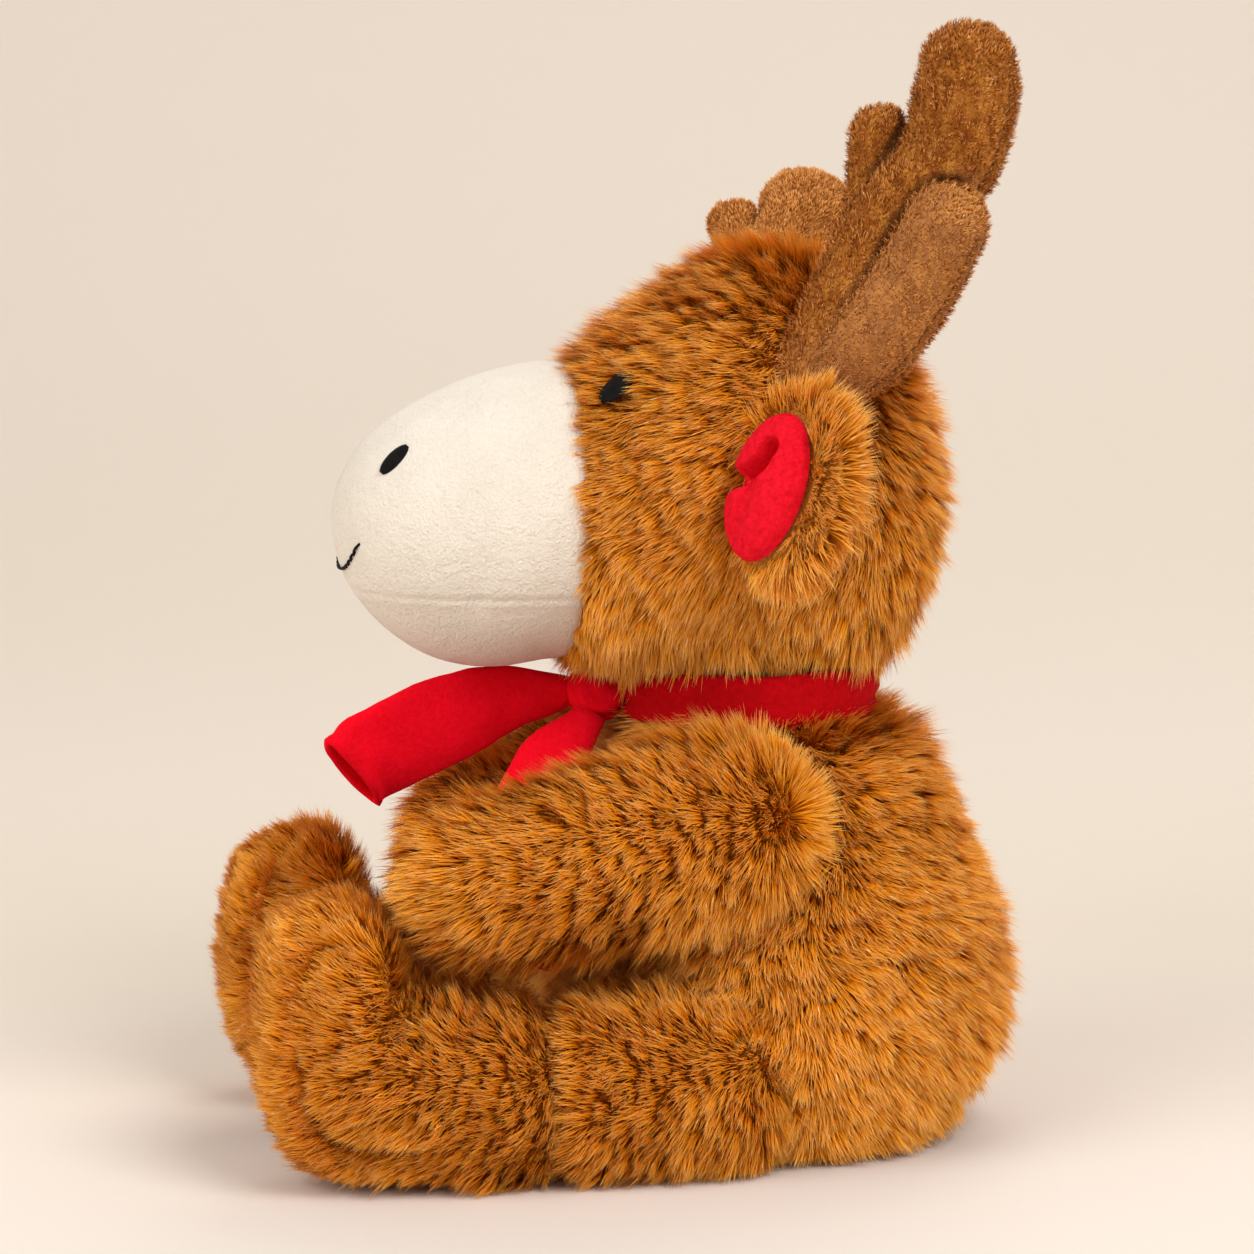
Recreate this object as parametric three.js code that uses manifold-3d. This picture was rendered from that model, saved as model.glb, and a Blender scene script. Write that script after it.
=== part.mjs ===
// A sitting plush deer: a stuffed fur body with a cream muzzle, folded ears, soft antlers and a red scarf.
// Lengths are millimetres and +Z is up. The deer faces -Y, and its left side is +X.
// The origin is the middle of its seat, on the surface that it sits on.

import * as THREE from 'three';
import { mergeVertices } from 'three/addons/utils/BufferGeometryUtils.js';
import Module from 'manifold-3d';

const wasm = await Module();
wasm.setup();

// Fits and fabrics
const gap = 0.3; // between two pieces that touch
const socketGap = 0.4; // round a ball that turns in its hollow
const overrun = 40; // how far a cut runs past what it cuts
const seatCut = 0.5; // how deep the resting forms are pressed flat
const furWall = 3.5; // fur fabric with the lower half of its pile
const velourWall = 2; // muzzle and antler fabric

// Torso, with the neck on top of it
const torsoWidth = 132;
const torsoDepth = 123;
const torsoHeight = 110;
const neckRadius = 29;
const neckRise = 12.7;
const neckBack = -9; // the neck's place along Y
const pouchWidth = 76;
const pouchDepth = 38;
const pouchHeight = 24;
const pouchBack = 26; // the pouch lies behind the hips
const pouchLift = 6; // stuffing under the pouch, above the wall

// Head behind the muzzle seam
const headWidth = 112;
const headHeight = 109;
const headLength = 98.5;
const headMiddle = 176.5; // height of the widest ring's middle
const seamPlace = -57; // the muzzle seam's place along Y

// Muzzle in front of the seam
const muzzleWidth = 81.6;
const muzzleHeight = 77.4;
const muzzleLength = 59.6;
const muzzleMiddle = 162;
const chinHeight = 19.7; // from the muzzle's lowest point up to the chin seam

// Embroidery on the face
const threadRise = 1.3;
const eyeLength = 10;
const eyeWidth = 7.6;
const eyeSide = 33;
const eyeBack = 8.5; // from the muzzle seam back to the eye
const nostrilLength = 9.8;
const nostrilWidth = 4.6;
const nostrilSide = 18;
const nostrilInset = 14.1; // from the tip of the nose back to the nostril
const mouthHalfWidth = 17;
const mouthRise = 3.7; // from the chin seam up to the mouth's middle
const mouthCurl = 8; // how far its ends turn up
const mouthCurlPower = 2.5; // how late they do
const mouthThread = 0.8;

// Arms
const shoulderRadius = 27;
const shoulderSide = 47;
const shoulderPlace = -25;
const shoulderHeight = 85.5;
const armReach = 82.5; // from the shoulder's middle to the paw's tip
const armBow = 6.5; // how far the arm bends outwards
const armDrop = 12; // how far the paw lies below the shoulder
const leftArmTurn = 0; // degrees that the arm points inwards from straight ahead
const rightArmTurn = 29;

// Legs and feet
const hipRadius = 24.5;
const hipSide = 47;
const hipPlace = -27;
const legReach = 117; // from the hip's middle to the sole
const legBow = 5;
const footHeight = 74;
const footWidth = 54;
const soleDepth = 10; // from the sole's seam to the front of the foot

// Ears
const earWidth = 38;
const earHeight = 54;
const earDepth = 13;
const earSide = 67.5;
const earPlace = -13;
const earDrop = 2.5; // from the middle of the head down to the ear's middle
const earTurn = 38; // degrees that the bowl of the ear faces outwards from straight ahead
const earTilt = 14; // degrees that its lower end swings forwards
const earFurWall = 3;
const liningWall = 1.6;
const earRootRadius = 9;
const earRootSide = 51;
const earRootPlace = -6;

// Antlers
const antlerRootRadius = 12.5;
const antlerRootSide = 46;
const antlerRootPlace = -1;
const antlerRootRise = 22.5; // from the middle of the head up to the antler's root
const antlerReach = 89; // from the root to the top of the main tine
const antlerThickness = 0.82; // a section's depth over its width
const antlerClearance = 3.5; // between the antler's stem and the head, so that it can bend
const leftAntlerTurns = [0, 0, 0]; // degrees about X, Y and Z from the shape's own stance
const rightAntlerTurns = [5, 72, 30]; // the same before the shape is mirrored: it leans outwards

// Scarf
const scarfHeight = 14;
const scarfThickness = 6;
const knotWidth = 22;
const knotHeight = 15;
const knotDepth = 15;
const tailWidth = 24;
const tailThickness = 7;
const frontTailReach = 58;
const sideTailReach = 62;
const tailRootRadius = 4;
const frontTailFlat = [0, 0, 1]; // the way that the strip's width lies
const sideTailFlat = [0.35, 1, 0];

// Mesh detail
const fineSides = 14;
const limbSides = 12;
const coarseSides = 8;
const ballSides = 10;
const tineSides = 8;
const earSides = 10;
const smallSides = 6;
const threadSides = 5;
const tipAngles = [40, 90]; // degrees round a tube's tip from its last ring
const ballAngles = [90, 65, 40, 18, 0]; // degrees round a limb's ball, from its back to its widest ring
const halvings = 14; // of the search for the muzzle's front
const mouthSteps = 4;

// Places that follow from the sizes
const neckTop = torsoHeight + neckRise;
const chinSeamHeight = muzzleMiddle - muzzleHeight / 2 + chinHeight;
const mouthHeight = chinSeamHeight + mouthRise;
const solePlace = hipPlace - legReach + soleDepth;
const antlerRootHeight = headMiddle + antlerRootRise;
const earMiddle = headMiddle - earDrop;
const eyePlace = seamPlace + eyeBack;
const nostrilPlace = seamPlace - muzzleLength + nostrilInset;

// Rings up the torso: height, half width and half depth, and how far the ring lies back
const torsoShares = [
  [0, 0.62, 0.561, -0.012],
  [0.035, 0.77, 0.707, -0.02],
  [0.106, 0.885, 0.829, -0.016],
  [0.212, 0.97, 0.948, -0.006],
  [0.336, 1, 0.988, -0.006],
  [0.496, 0.97, 0.959, -0.004],
  [0.655, 0.9, 0.874, -0.014],
  [0.796, 0.8, 0.793, -0.018],
  [0.903, 0.68, 0.703, -0.022],
  [0.973, 0.56, 0.61, -0.037],
];

// Rings along the head from its back: distance, half width, half height and lift of the ring's middle
const headShares = [
  [0, 0, 0, -0.133],
  [0.016, 0.3, 0.32, -0.124],
  [0.067, 0.571, 0.587, -0.106],
  [0.15, 0.75, 0.789, -0.078],
  [0.275, 0.902, 0.954, -0.032],
  [0.409, 0.982, 1, 0],
  [0.534, 1, 1, 0],
  [0.658, 0.973, 0.945, -0.023],
  [0.782, 0.911, 0.872, -0.06],
  [0.896, 0.839, 0.798, -0.096],
  [0.979, 0.777, 0.734, -0.127],
  [1, 0.76, 0.721, -0.131],
];

// The same along the muzzle, from the seam to the nose
const muzzleShares = [
  [0.005, 0.993, 0.995, 0.004],
  [0.11, 1, 1, 0],
  [0.27, 0.98, 0.984, -0.026],
  [0.427, 0.931, 0.932, -0.048],
  [0.585, 0.846, 0.843, -0.059],
  [0.728, 0.723, 0.715, -0.058],
  [0.854, 0.559, 0.55, -0.05],
  [0.934, 0.38, 0.374, -0.037],
  [0.981, 0.196, 0.199, -0.024],
  [1, 0, 0, -0.017],
];

// Rings along an arm in front of the shoulder: reach, bow, drop, half width and half height
const armShares = [
  [0.13, 0.3, 0.09, 0.96, 1],
  [0.25, 0.55, 0.21, 0.9, 0.98],
  [0.45, 0.93, 0.47, 0.82, 0.91],
  [0.64, 1, 0.74, 0.75, 0.84],
  [0.8, 0.86, 0.9, 0.69, 0.76],
  [0.91, 0.7, 0.96, 0.55, 0.61],
  [0.976, 0.62, 1, 0.33, 0.36],
  [1, 0.6, 1, 0, 0],
];

// Rings along the thigh: reach, bow, and half width and half height over the hip's radius
const thighShares = [
  [0.1, 0.25, 1, 1],
  [0.26, 0.8, 0.98, 0.99],
  [0.38, 1, 0.93, 0.965],
];

// Rings along the foot: reach, bow, half width, and the ring's top and bottom over the foot's height
const footShares = [
  [0.475, 1, 0.9, 0.65, 0],
  [0.58, 0.9, 0.95, 0.69, 0],
  [0.665, 0.8, 0.985, 0.76, 0],
  [0.73, 0.7, 1, 0.92, 0.002],
  [0.79, 0.64, 1, 0.985, 0.012],
  [0.85, 0.58, 0.97, 1, 0.035],
  [0.91, 0.54, 0.87, 0.965, 0.1],
  [0.957, 0.5, 0.67, 0.88, 0.21],
  [0.987, 0.48, 0.38, 0.74, 0.36],
  [1, 0.46, 0, 0.54, 0.54],
];

// Stations along the antler's tines over its reach: outwards, back, up and radius
const tineShares = {
  main: [
    [0, 0, 0, 0.12],
    [0.011, 0.14, 0.225, 0.162],
    [0.028, 0.235, 0.43, 0.162],
    [0.056, 0.365, 0.607, 0.157],
    [0.079, 0.408, 0.775, 0.155],
    [0.09, 0.411, 0.865, 0.142],
  ],
  inner: [
    [0.01, 0.16, 0.36, 0.1],
    [-0.045, 0.19, 0.52, 0.098],
    [-0.067, 0.2, 0.675, 0.094],
  ],
  outer: [
    [0.01, 0.02, 0.01, 0.12],
    [0.085, 0.129, 0.1, 0.142],
    [0.16, 0.242, 0.27, 0.137],
    [0.225, 0.326, 0.44, 0.122],
  ],
};

// Stations along the scarf's tails over their reach: sideways, forwards and down, then width and thickness
const frontTailShares = [
  [0, 0, 0, 0.3, 0.8],
  [0.02, 0.2, 0.02, 0.62, 0.95],
  [0.05, 0.4, 0.07, 0.86, 1],
  [0.085, 0.66, 0.155, 1, 1],
  [0.12, 0.93, 0.285, 0.98, 0.85],
  [0.13, 0.99, 0.31, 0.94, 0.6],
];
const sideTailShares = [
  [0, 0, 0, 0.3, 0.8],
  [0.05, 0.13, 0.16, 0.7, 1],
  [0.11, 0.24, 0.38, 0.95, 1],
  [0.16, 0.33, 0.66, 1, 0.9],
  [0.19, 0.37, 0.9, 0.96, 0.7],
];

const radians = THREE.MathUtils.degToRad;

function solidOf(geometry) {
  geometry.deleteAttribute('normal');
  geometry.deleteAttribute('uv');
  const merged = mergeVertices(geometry, gap / 1000);
  return new wasm.Manifold(
    new wasm.Mesh({
      numProp: 3,
      vertProperties: new Float32Array(merged.attributes.position.array),
      triVerts: new Uint32Array(merged.index.array),
    }),
  );
}

function geometryOf(solid) {
  const mesh = solid.getMesh();
  const geometry = new THREE.BufferGeometry();
  const stride = mesh.numProp;
  const places = new Float32Array((mesh.vertProperties.length / stride) * 3);
  for (let i = 0; i < places.length; i += 1) {
    places[i] = mesh.vertProperties[Math.floor(i / 3) * stride + (i % 3)];
  }
  geometry.setAttribute('position', new THREE.BufferAttribute(places, 3));
  geometry.setIndex(new THREE.BufferAttribute(new Uint32Array(mesh.triVerts), 1));
  return geometry;
}

// A closed skin over rings, each with a middle and two half axes; a ring with no width is a pole
function loft(rings, sides, growth = 0) {
  const places = [];
  const starts = rings.map((ring) => {
    const start = places.length;
    const count = ring.across.length() > 0 ? sides : 1;
    for (let i = 0; i < count; i += 1) {
      const turn = (2 * Math.PI * i) / sides;
      places.push(
        ring.middle
          .clone()
          .addScaledVector(ring.across, count > 1 ? Math.cos(turn) : 0)
          .addScaledVector(ring.over, count > 1 ? Math.sin(turn) : 0),
      );
    }
    return { start, count };
  });
  const faces = [];
  for (let r = 0; r + 1 < rings.length; r += 1) {
    const low = starts[r];
    const high = starts[r + 1];
    for (let i = 0; i < sides; i += 1) {
      const next = (i + 1) % sides;
      const a = low.start + (low.count > 1 ? i : 0);
      const b = low.start + (low.count > 1 ? next : 0);
      const c = high.start + (high.count > 1 ? next : 0);
      const d = high.start + (high.count > 1 ? i : 0);
      if (a !== b) faces.push([a, b, c]);
      if (c !== d) faces.push([a, c, d]);
    }
  }
  for (const [end, flip] of [[starts[0], true], [starts[starts.length - 1], false]]) {
    if (end.count > 1) {
      const hub = places.length;
      const middle = new THREE.Vector3();
      for (let i = 0; i < sides; i += 1) middle.addScaledVector(places[end.start + i], 1 / sides);
      places.push(middle);
      for (let i = 0; i < sides; i += 1) {
        const rim = [end.start + i, end.start + ((i + 1) % sides)];
        faces.push(flip ? [hub, rim[1], rim[0]] : [hub, rim[0], rim[1]]);
      }
    }
  }
  const volume = faces.reduce(
    (sum, [a, b, c]) => sum + places[a].dot(places[b].clone().cross(places[c])),
    0,
  );
  if (volume < 0) faces.forEach((face) => face.reverse());
  const normals = places.map(() => new THREE.Vector3());
  for (const [a, b, c] of faces) {
    const normal = places[b].clone().sub(places[a]).cross(places[c].clone().sub(places[a]));
    for (const corner of [a, b, c]) normals[corner].add(normal);
  }
  places.forEach((place, i) => place.addScaledVector(normals[i].normalize(), growth));
  const geometry = new THREE.BufferGeometry().setFromPoints(places);
  geometry.setIndex(faces.flat());
  return solidOf(geometry);
}

// Rings square to a path, the first half axis as close as it can be to the wanted side, with a round tip
function tubeRings(points, side, widths, depths) {
  const rings = points.map((point, i) => {
    const before = points[Math.max(i - 1, 0)];
    const after = points[Math.min(i + 1, points.length - 1)];
    const along = after.clone().sub(before).normalize();
    const across = side.clone().addScaledVector(along, -side.dot(along)).normalize();
    const over = along.clone().cross(across);
    return { middle: point, along, across, over, width: widths[i], depth: depths[i] };
  });
  const sized = (ring, shift, scale) => ({
    middle: ring.middle.clone().addScaledVector(ring.along, shift),
    across: ring.across.clone().multiplyScalar(ring.width * scale),
    over: ring.over.clone().multiplyScalar(ring.depth * scale),
  });
  const last = rings[rings.length - 1];
  const tip = tipAngles.map((angle) =>
    sized(last, last.depth * Math.sin(radians(angle)), angle < 90 ? Math.cos(radians(angle)) : 0),
  );
  return [...rings.map((ring) => sized(ring, 0, 1)), ...tip];
}

function ball(middle, radius, sides = ballSides) {
  return solidOf(new THREE.SphereGeometry(radius, sides, sides / 2).translate(...middle));
}

// How near a ball's facets come to its middle over its radius
const nearShare = (sides) => Math.cos(Math.PI / sides) ** 2;

// The hollow for what turns inside a radius: its facets stay outside it
const socket = (middle, radius) => ball(middle, (radius + socketGap) / nearShare(ballSides));

// What a limb keeps of its end where it stands in its body
const keptRadius = (radius) => radius / nearShare(fineSides);

// A block from one plane outwards, for cutting
function beyond(axis, place, way) {
  const size = 2 * (torsoWidth + legReach + antlerReach) + overrun;
  const block = new THREE.BoxGeometry(size, size, size);
  const shift = new THREE.Vector3();
  shift[axis] = place + (way * size) / 2;
  return solidOf(block.translate(...shift));
}

function mirrored(solid) {
  const geometry = geometryOf(solid);
  geometry.scale(-1, 1, 1);
  const order = geometry.index.array;
  for (let i = 0; i < order.length; i += 3) [order[i], order[i + 1]] = [order[i + 1], order[i]];
  return solidOf(geometry);
}

function solidsJoined(solids) {
  return solids.reduce((whole, solid) => whole.add(solid));
}

// Only the main body is kept where a cut leaves crumbs
function largest(solid) {
  const parts = solid.decompose();
  return parts.reduce((best, part) => (part.volume() > best.volume() ? part : best));
}

const bothSides = [
  { name: 'left', way: 1 },
  { name: 'right', way: -1 },
];
const shoulder = [shoulderSide, shoulderPlace, shoulderHeight];
const hip = [hipSide, hipPlace, hipRadius - seatCut];
const antlerRoot = [antlerRootSide, antlerRootPlace, antlerRootHeight];
const earRoot = [earRootSide, earRootPlace, earMiddle];
const onSide = ([x, y, z], way) => [way * x, y, z];
const floorBlock = beyond('z', 0, -1);

function stackedRing(height, back, halfWidth, halfDepth) {
  return {
    middle: new THREE.Vector3(0, back, height),
    across: new THREE.Vector3(halfWidth, 0, 0),
    over: new THREE.Vector3(0, halfDepth, 0),
  };
}

function facingRing(side, place, middle, halfWidth, halfHeight) {
  return {
    middle: new THREE.Vector3(side, place, middle),
    across: new THREE.Vector3(halfWidth, 0, 0),
    over: new THREE.Vector3(0, 0, halfHeight),
  };
}

// Forms that lie inside a skin have every second ring only
const ringsFor = (rings, growth) =>
  rings.filter((ring, i) => growth >= 0 || i % 2 === 0 || i === rings.length - 1);

function torsoForm(growth, sides) {
  const rings = torsoShares.map(([height, width, depth, back]) =>
    stackedRing(
      height * (torsoHeight + seatCut) - seatCut,
      back * torsoDepth,
      (width * torsoWidth) / 2,
      (depth * torsoDepth) / 2,
    ),
  );
  rings.push(stackedRing(torsoHeight + neckRise / 4, neckBack, neckRadius, neckRadius));
  rings.push(stackedRing(neckTop, neckBack, neckRadius, neckRadius));
  return loft(ringsFor(rings, growth), sides, growth);
}

function headRings() {
  const backPlace = seamPlace + headLength;
  const skull = headShares.map(([along, width, height, lift]) =>
    facingRing(
      0,
      backPlace - along * headLength,
      headMiddle + lift * headHeight,
      (width * headWidth) / 2,
      (height * headHeight) / 2,
    ),
  );
  const muzzle = muzzleShares.map(([along, width, height, lift]) =>
    facingRing(
      0,
      seamPlace - along * muzzleLength,
      muzzleMiddle + lift * muzzleHeight,
      (width * muzzleWidth) / 2,
      (height * muzzleHeight) / 2,
    ),
  );
  return [...skull, ...muzzle];
}

// A ring between two stated ones, anywhere along the head
function headRingAt(place) {
  const rings = headRings();
  const after = rings.findIndex((ring) => ring.middle.y <= place);
  const [back, front] = [rings[after - 1], rings[after]];
  const share = (back.middle.y - place) / (back.middle.y - front.middle.y);
  return {
    middle: THREE.MathUtils.lerp(back.middle.z, front.middle.z, share),
    halfWidth: THREE.MathUtils.lerp(back.across.x, front.across.x, share),
    halfHeight: THREE.MathUtils.lerp(back.over.z, front.over.z, share),
  };
}

function topOfHead(side, place) {
  const ring = headRingAt(place);
  return ring.middle + ring.halfHeight * Math.sqrt(1 - (side / ring.halfWidth) ** 2);
}

// Where the muzzle's front lies for a point given by its side and height
function frontOfMuzzle(side, height) {
  let near = seamPlace;
  let far = seamPlace - muzzleLength;
  for (let step = 0; step < halvings; step += 1) {
    const middle = (near + far) / 2;
    const ring = headRingAt(middle);
    const reach = (side / ring.halfWidth) ** 2 + ((height - ring.middle) / ring.halfHeight) ** 2;
    if (reach < 1) near = middle;
    else far = middle;
  }
  return (near + far) / 2;
}

const headForm = (growth, sides) => loft(ringsFor(headRings(), growth), sides, growth);

// Rings of the ball behind a joint, up to its widest
function ballRings([side, place, height], radius) {
  return ballAngles.map((angle) => {
    const size = angle < 90 ? radius * Math.cos(radians(angle)) : 0;
    return facingRing(side, place + radius * Math.sin(radians(angle)), height, size, size);
  });
}

function armForm(growth, sides, turn) {
  const rings = armShares.map(([reach, bow, drop, width, height]) =>
    facingRing(
      shoulderSide + bow * armBow - reach * armReach * Math.sin(radians(turn)),
      shoulderPlace - reach * armReach * Math.cos(radians(turn)),
      shoulderHeight - drop * armDrop,
      width * shoulderRadius,
      height * shoulderRadius,
    ),
  );
  const all = [...ballRings(shoulder, shoulderRadius), ...rings];
  return loft(ringsFor(all, growth), sides, growth);
}

function legForm(growth, sides) {
  const thigh = thighShares.map(([reach, bow, width, height]) =>
    facingRing(
      hipSide + bow * legBow,
      hipPlace - reach * legReach,
      height * hipRadius - seatCut,
      width * hipRadius,
      height * hipRadius,
    ),
  );
  const foot = footShares.map(([reach, bow, width, top, bottom]) => {
    const high = top * footHeight;
    const low = bottom * footHeight - seatCut;
    const halfWidth = (width * footWidth) / 2;
    return facingRing(
      hipSide + bow * legBow,
      hipPlace - reach * legReach,
      (high + low) / 2,
      halfWidth,
      halfWidth > 0 ? (high - low) / 2 : 0,
    );
  });
  const all = [...ballRings(hip, hipRadius), ...thigh, ...foot];
  return loft(ringsFor(all, growth), sides, growth);
}

// One side's antler, standing at the origin on its root
function antlerShape(growth, sides) {
  const tines = Object.values(tineShares).map((stations) => {
    const points = stations.map(([out, back, up]) =>
      new THREE.Vector3(out, back, up).multiplyScalar(antlerReach),
    );
    const widths = stations.map((station) => station[3] * antlerReach);
    const depths = widths.map((width) => width * antlerThickness);
    const rings = tubeRings(points, new THREE.Vector3(1, 1, 0), widths, depths);
    return loft(rings, sides, growth);
  });
  return solidsJoined(tines);
}

function turned(solid, degrees) {
  const geometry = geometryOf(solid);
  const order = [0, 1, 2].map((i) => radians(degrees[i]));
  geometry.applyMatrix4(new THREE.Matrix4().makeRotationFromEuler(new THREE.Euler(...order, 'XYZ')));
  return solidOf(geometry);
}

function antlerForm(growth, sides, way) {
  const shape = antlerShape(growth, sides);
  const stance = turned(shape, way > 0 ? leftAntlerTurns : rightAntlerTurns);
  const side = solidOf(geometryOf(stance).translate(...antlerRoot));
  return way > 0 ? side : mirrored(side);
}

// The ear's bowl, turned to face outwards and forwards
function earBowl(inset) {
  const bowl = new THREE.SphereGeometry(1, earSides, earSides / 2);
  bowl.scale(earWidth / 2 - inset, earDepth - inset, earHeight / 2 - inset);
  bowl.rotateX(radians(-earTilt));
  bowl.rotateZ(radians(earTurn));
  return solidOf(bowl.translate(earSide, earPlace, earMiddle));
}

function earMouth() {
  const block = new THREE.BoxGeometry(2 * earHeight, 2 * earHeight, 2 * earHeight);
  block.translate(0, -earHeight, 0);
  block.rotateX(radians(-earTilt));
  block.rotateZ(radians(earTurn));
  return solidOf(block.translate(earSide, earPlace, earMiddle));
}

// Skin and stuffing of a limb that turns on a ball: both stop at the body beside it, except in the ball
function limb({ form, middle, radius, wall }) {
  const cut = (inset, sides) => {
    const kept = ball(middle, keptRadius(radius - inset), fineSides);
    return form(-inset, sides).subtract(besideTorso(gap + inset, sides).subtract(kept));
  };
  const whole = cut(0, limbSides).subtract(floorBlock);
  const hollow = cut(wall, coarseSides);
  return {
    skin: whole.subtract(hollow),
    stuffing: largest(cut(wall + gap, coarseSides)),
  };
}

// A round opening from a ball's middle towards the body, where the limb is sewn on
function sewnOpening([x, y, z], radius, reach) {
  const bore = new THREE.CylinderGeometry(radius, radius, reach, smallSides);
  bore.rotateZ(Math.PI / 2);
  return solidOf(bore.translate(x - reach / 2, y, z));
}

const nodes = [];
function addNode(name, solid, material) {
  nodes.push({ name, solid: largest(solid), material });
}

const furFabric = new THREE.MeshStandardMaterial({ color: 0xb8742c, roughness: 0.9, metalness: 0 });
const velour = new THREE.MeshStandardMaterial({ color: 0xf3ead6, roughness: 0.9, metalness: 0 });
const antlerPlush = new THREE.MeshStandardMaterial({ color: 0x8a5a30, roughness: 0.9, metalness: 0 });
const redFleece = new THREE.MeshStandardMaterial({ color: 0xc9101f, roughness: 0.95, metalness: 0 });
const blackThread = new THREE.MeshStandardMaterial({ color: 0x17171a, roughness: 0.6, metalness: 0 });
const polyFill = new THREE.MeshStandardMaterial({ color: 0xf4f4f0, roughness: 1, metalness: 0 });
const pouchCloth = new THREE.MeshStandardMaterial({ color: 0xd8d4c8, roughness: 0.9, metalness: 0 });

// Places where the limbs turn in the torso
const torsoBalls = bothSides.flatMap(({ way }) => [
  { middle: onSide(shoulder, way), radius: keptRadius(shoulderRadius) },
  { middle: onSide(hip, way), radius: keptRadius(hipRadius) },
]);
const headBalls = bothSides.flatMap(({ way }) => [
  { middle: onSide(antlerRoot, way), radius: antlerRootRadius },
  { middle: onSide(earRoot, way), radius: earRootRadius },
]);
const socketsOf = (balls, extra) =>
  solidsJoined(balls.map(({ middle, radius }) => socket(middle, radius + extra)));

function makeTorso() {
  const inside = (inset) =>
    torsoForm(-inset, coarseSides).subtract(socketsOf(torsoBalls, inset));
  const outside = torsoForm(0, fineSides)
    .subtract(floorBlock)
    .subtract(beyond('z', neckTop, 1))
    .subtract(socketsOf(torsoBalls, 0));
  const neckHole = new THREE.CylinderGeometry(
    neckRadius / 2,
    neckRadius / 2,
    2 * overrun,
    smallSides,
  ).rotateX(Math.PI / 2);
  neckHole.translate(0, neckBack, neckTop);
  const pouchMiddle = [0, pouchBack, furWall + pouchLift + pouchHeight / 2];
  const pouchGrown = (growth) => {
    const half = [pouchWidth, pouchDepth, pouchHeight].map((size) => size / 2 + growth);
    return solidOf(
      new THREE.SphereGeometry(1, coarseSides, smallSides).scale(...half).translate(...pouchMiddle),
    );
  };
  const slit = new THREE.BoxGeometry(gap, pouchDepth, pouchHeight).translate(...pouchMiddle);
  slit.translate(0, pouchDepth / 2, 0);
  const hollow = inside(furWall);
  addNode('torso_skin', outside.subtract(hollow).subtract(solidOf(neckHole)), furFabric);
  addNode(
    'torso_stuffing',
    inside(furWall + gap).subtract(pouchGrown(gap)).subtract(solidOf(slit)),
    polyFill,
  );
  addNode('pellet_pouch', pouchGrown(0), pouchCloth);
}

function makeHead() {
  const inside = (inset) =>
    headForm(-inset, coarseSides)
      .subtract(socketsOf(headBalls, inset))
      .subtract(beyond('z', neckTop + gap + inset, -1).subtract(beyond('y', seamPlace, -1)));
  const shell = headForm(0, fineSides).subtract(inside(furWall));
  const fur = shell
    .subtract(beyond('y', seamPlace + gap / 2, -1))
    .subtract(beyond('z', neckTop + gap, -1))
    .subtract(socketsOf(headBalls, 0));
  const muzzle = headForm(0, fineSides)
    .subtract(headForm(-velourWall, coarseSides))
    .subtract(beyond('y', seamPlace - gap / 2, 1));
  addNode('head_skin', fur, furFabric);
  addNode('muzzle_top_panel', muzzle.subtract(beyond('z', chinSeamHeight + gap / 2, -1)), velour);
  addNode('muzzle_chin_panel', muzzle.subtract(beyond('z', chinSeamHeight - gap / 2, 1)), velour);
  addNode('head_stuffing', inside(furWall + gap), polyFill);
}

// What a limb is cut by: the inner forms have flatter sides, so they are grown to make up for it
const flatterBy = (width) => (width / 2) * (1 - Math.cos(Math.PI / coarseSides));
const beside = (form, width) => (growth, sides) =>
  sides > coarseSides ? form(growth, fineSides) : form(growth + flatterBy(width), coarseSides);
const besideTorso = beside(torsoForm, torsoWidth);
const besideHead = beside(headForm, headWidth);

function makeArms() {
  const opening = sewnOpening(shoulder, shoulderRadius / 3, shoulderRadius + overrun);
  for (const { name, way } of bothSides) {
    const { skin, stuffing } = limb({
      form: (growth, sides) => armForm(growth, sides, way > 0 ? leftArmTurn : rightArmTurn),
      middle: shoulder,
      radius: shoulderRadius,
      wall: furWall,
    });
    const open = skin.subtract(opening);
    addNode(`${name}_arm_skin`, way > 0 ? open : mirrored(open), furFabric);
    addNode(`${name}_arm_stuffing`, way > 0 ? stuffing : mirrored(stuffing), polyFill);
  }
}

function makeLegs() {
  const { skin, stuffing } = limb({
    form: legForm,
    middle: hip,
    radius: hipRadius,
    wall: furWall,
  });
  const leg = skin.subtract(beyond('y', solePlace + gap / 2, -1));
  const sole = skin.subtract(beyond('y', solePlace - gap / 2, 1));
  for (const { name, way } of bothSides) {
    addNode(`${name}_leg_skin`, way > 0 ? leg : mirrored(leg), furFabric);
    addNode(`${name}_foot_sole`, way > 0 ? sole : mirrored(sole), furFabric);
    addNode(`${name}_leg_stuffing`, way > 0 ? stuffing : mirrored(stuffing), polyFill);
  }
}

function makeAntlers() {
  const opening = sewnOpening(antlerRoot, antlerRootRadius / 2, antlerRootRadius + overrun);
  for (const { name, way } of bothSides) {
    const form = (inset, sides) =>
      antlerForm(-inset, sides, way)
        .subtract(besideHead(antlerClearance + inset, inset > 0 ? coarseSides : fineSides))
        .add(ball(onSide(antlerRoot, way), antlerRootRadius - inset, tineSides));
    const skin = form(0, tineSides)
      .subtract(form(velourWall, smallSides))
      .subtract(way > 0 ? opening : mirrored(opening));
    addNode(`${name}_antler_skin`, skin, antlerPlush);
    addNode(`${name}_antler_stuffing`, form(velourWall + gap, smallSides), polyFill);
  }
}

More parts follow.
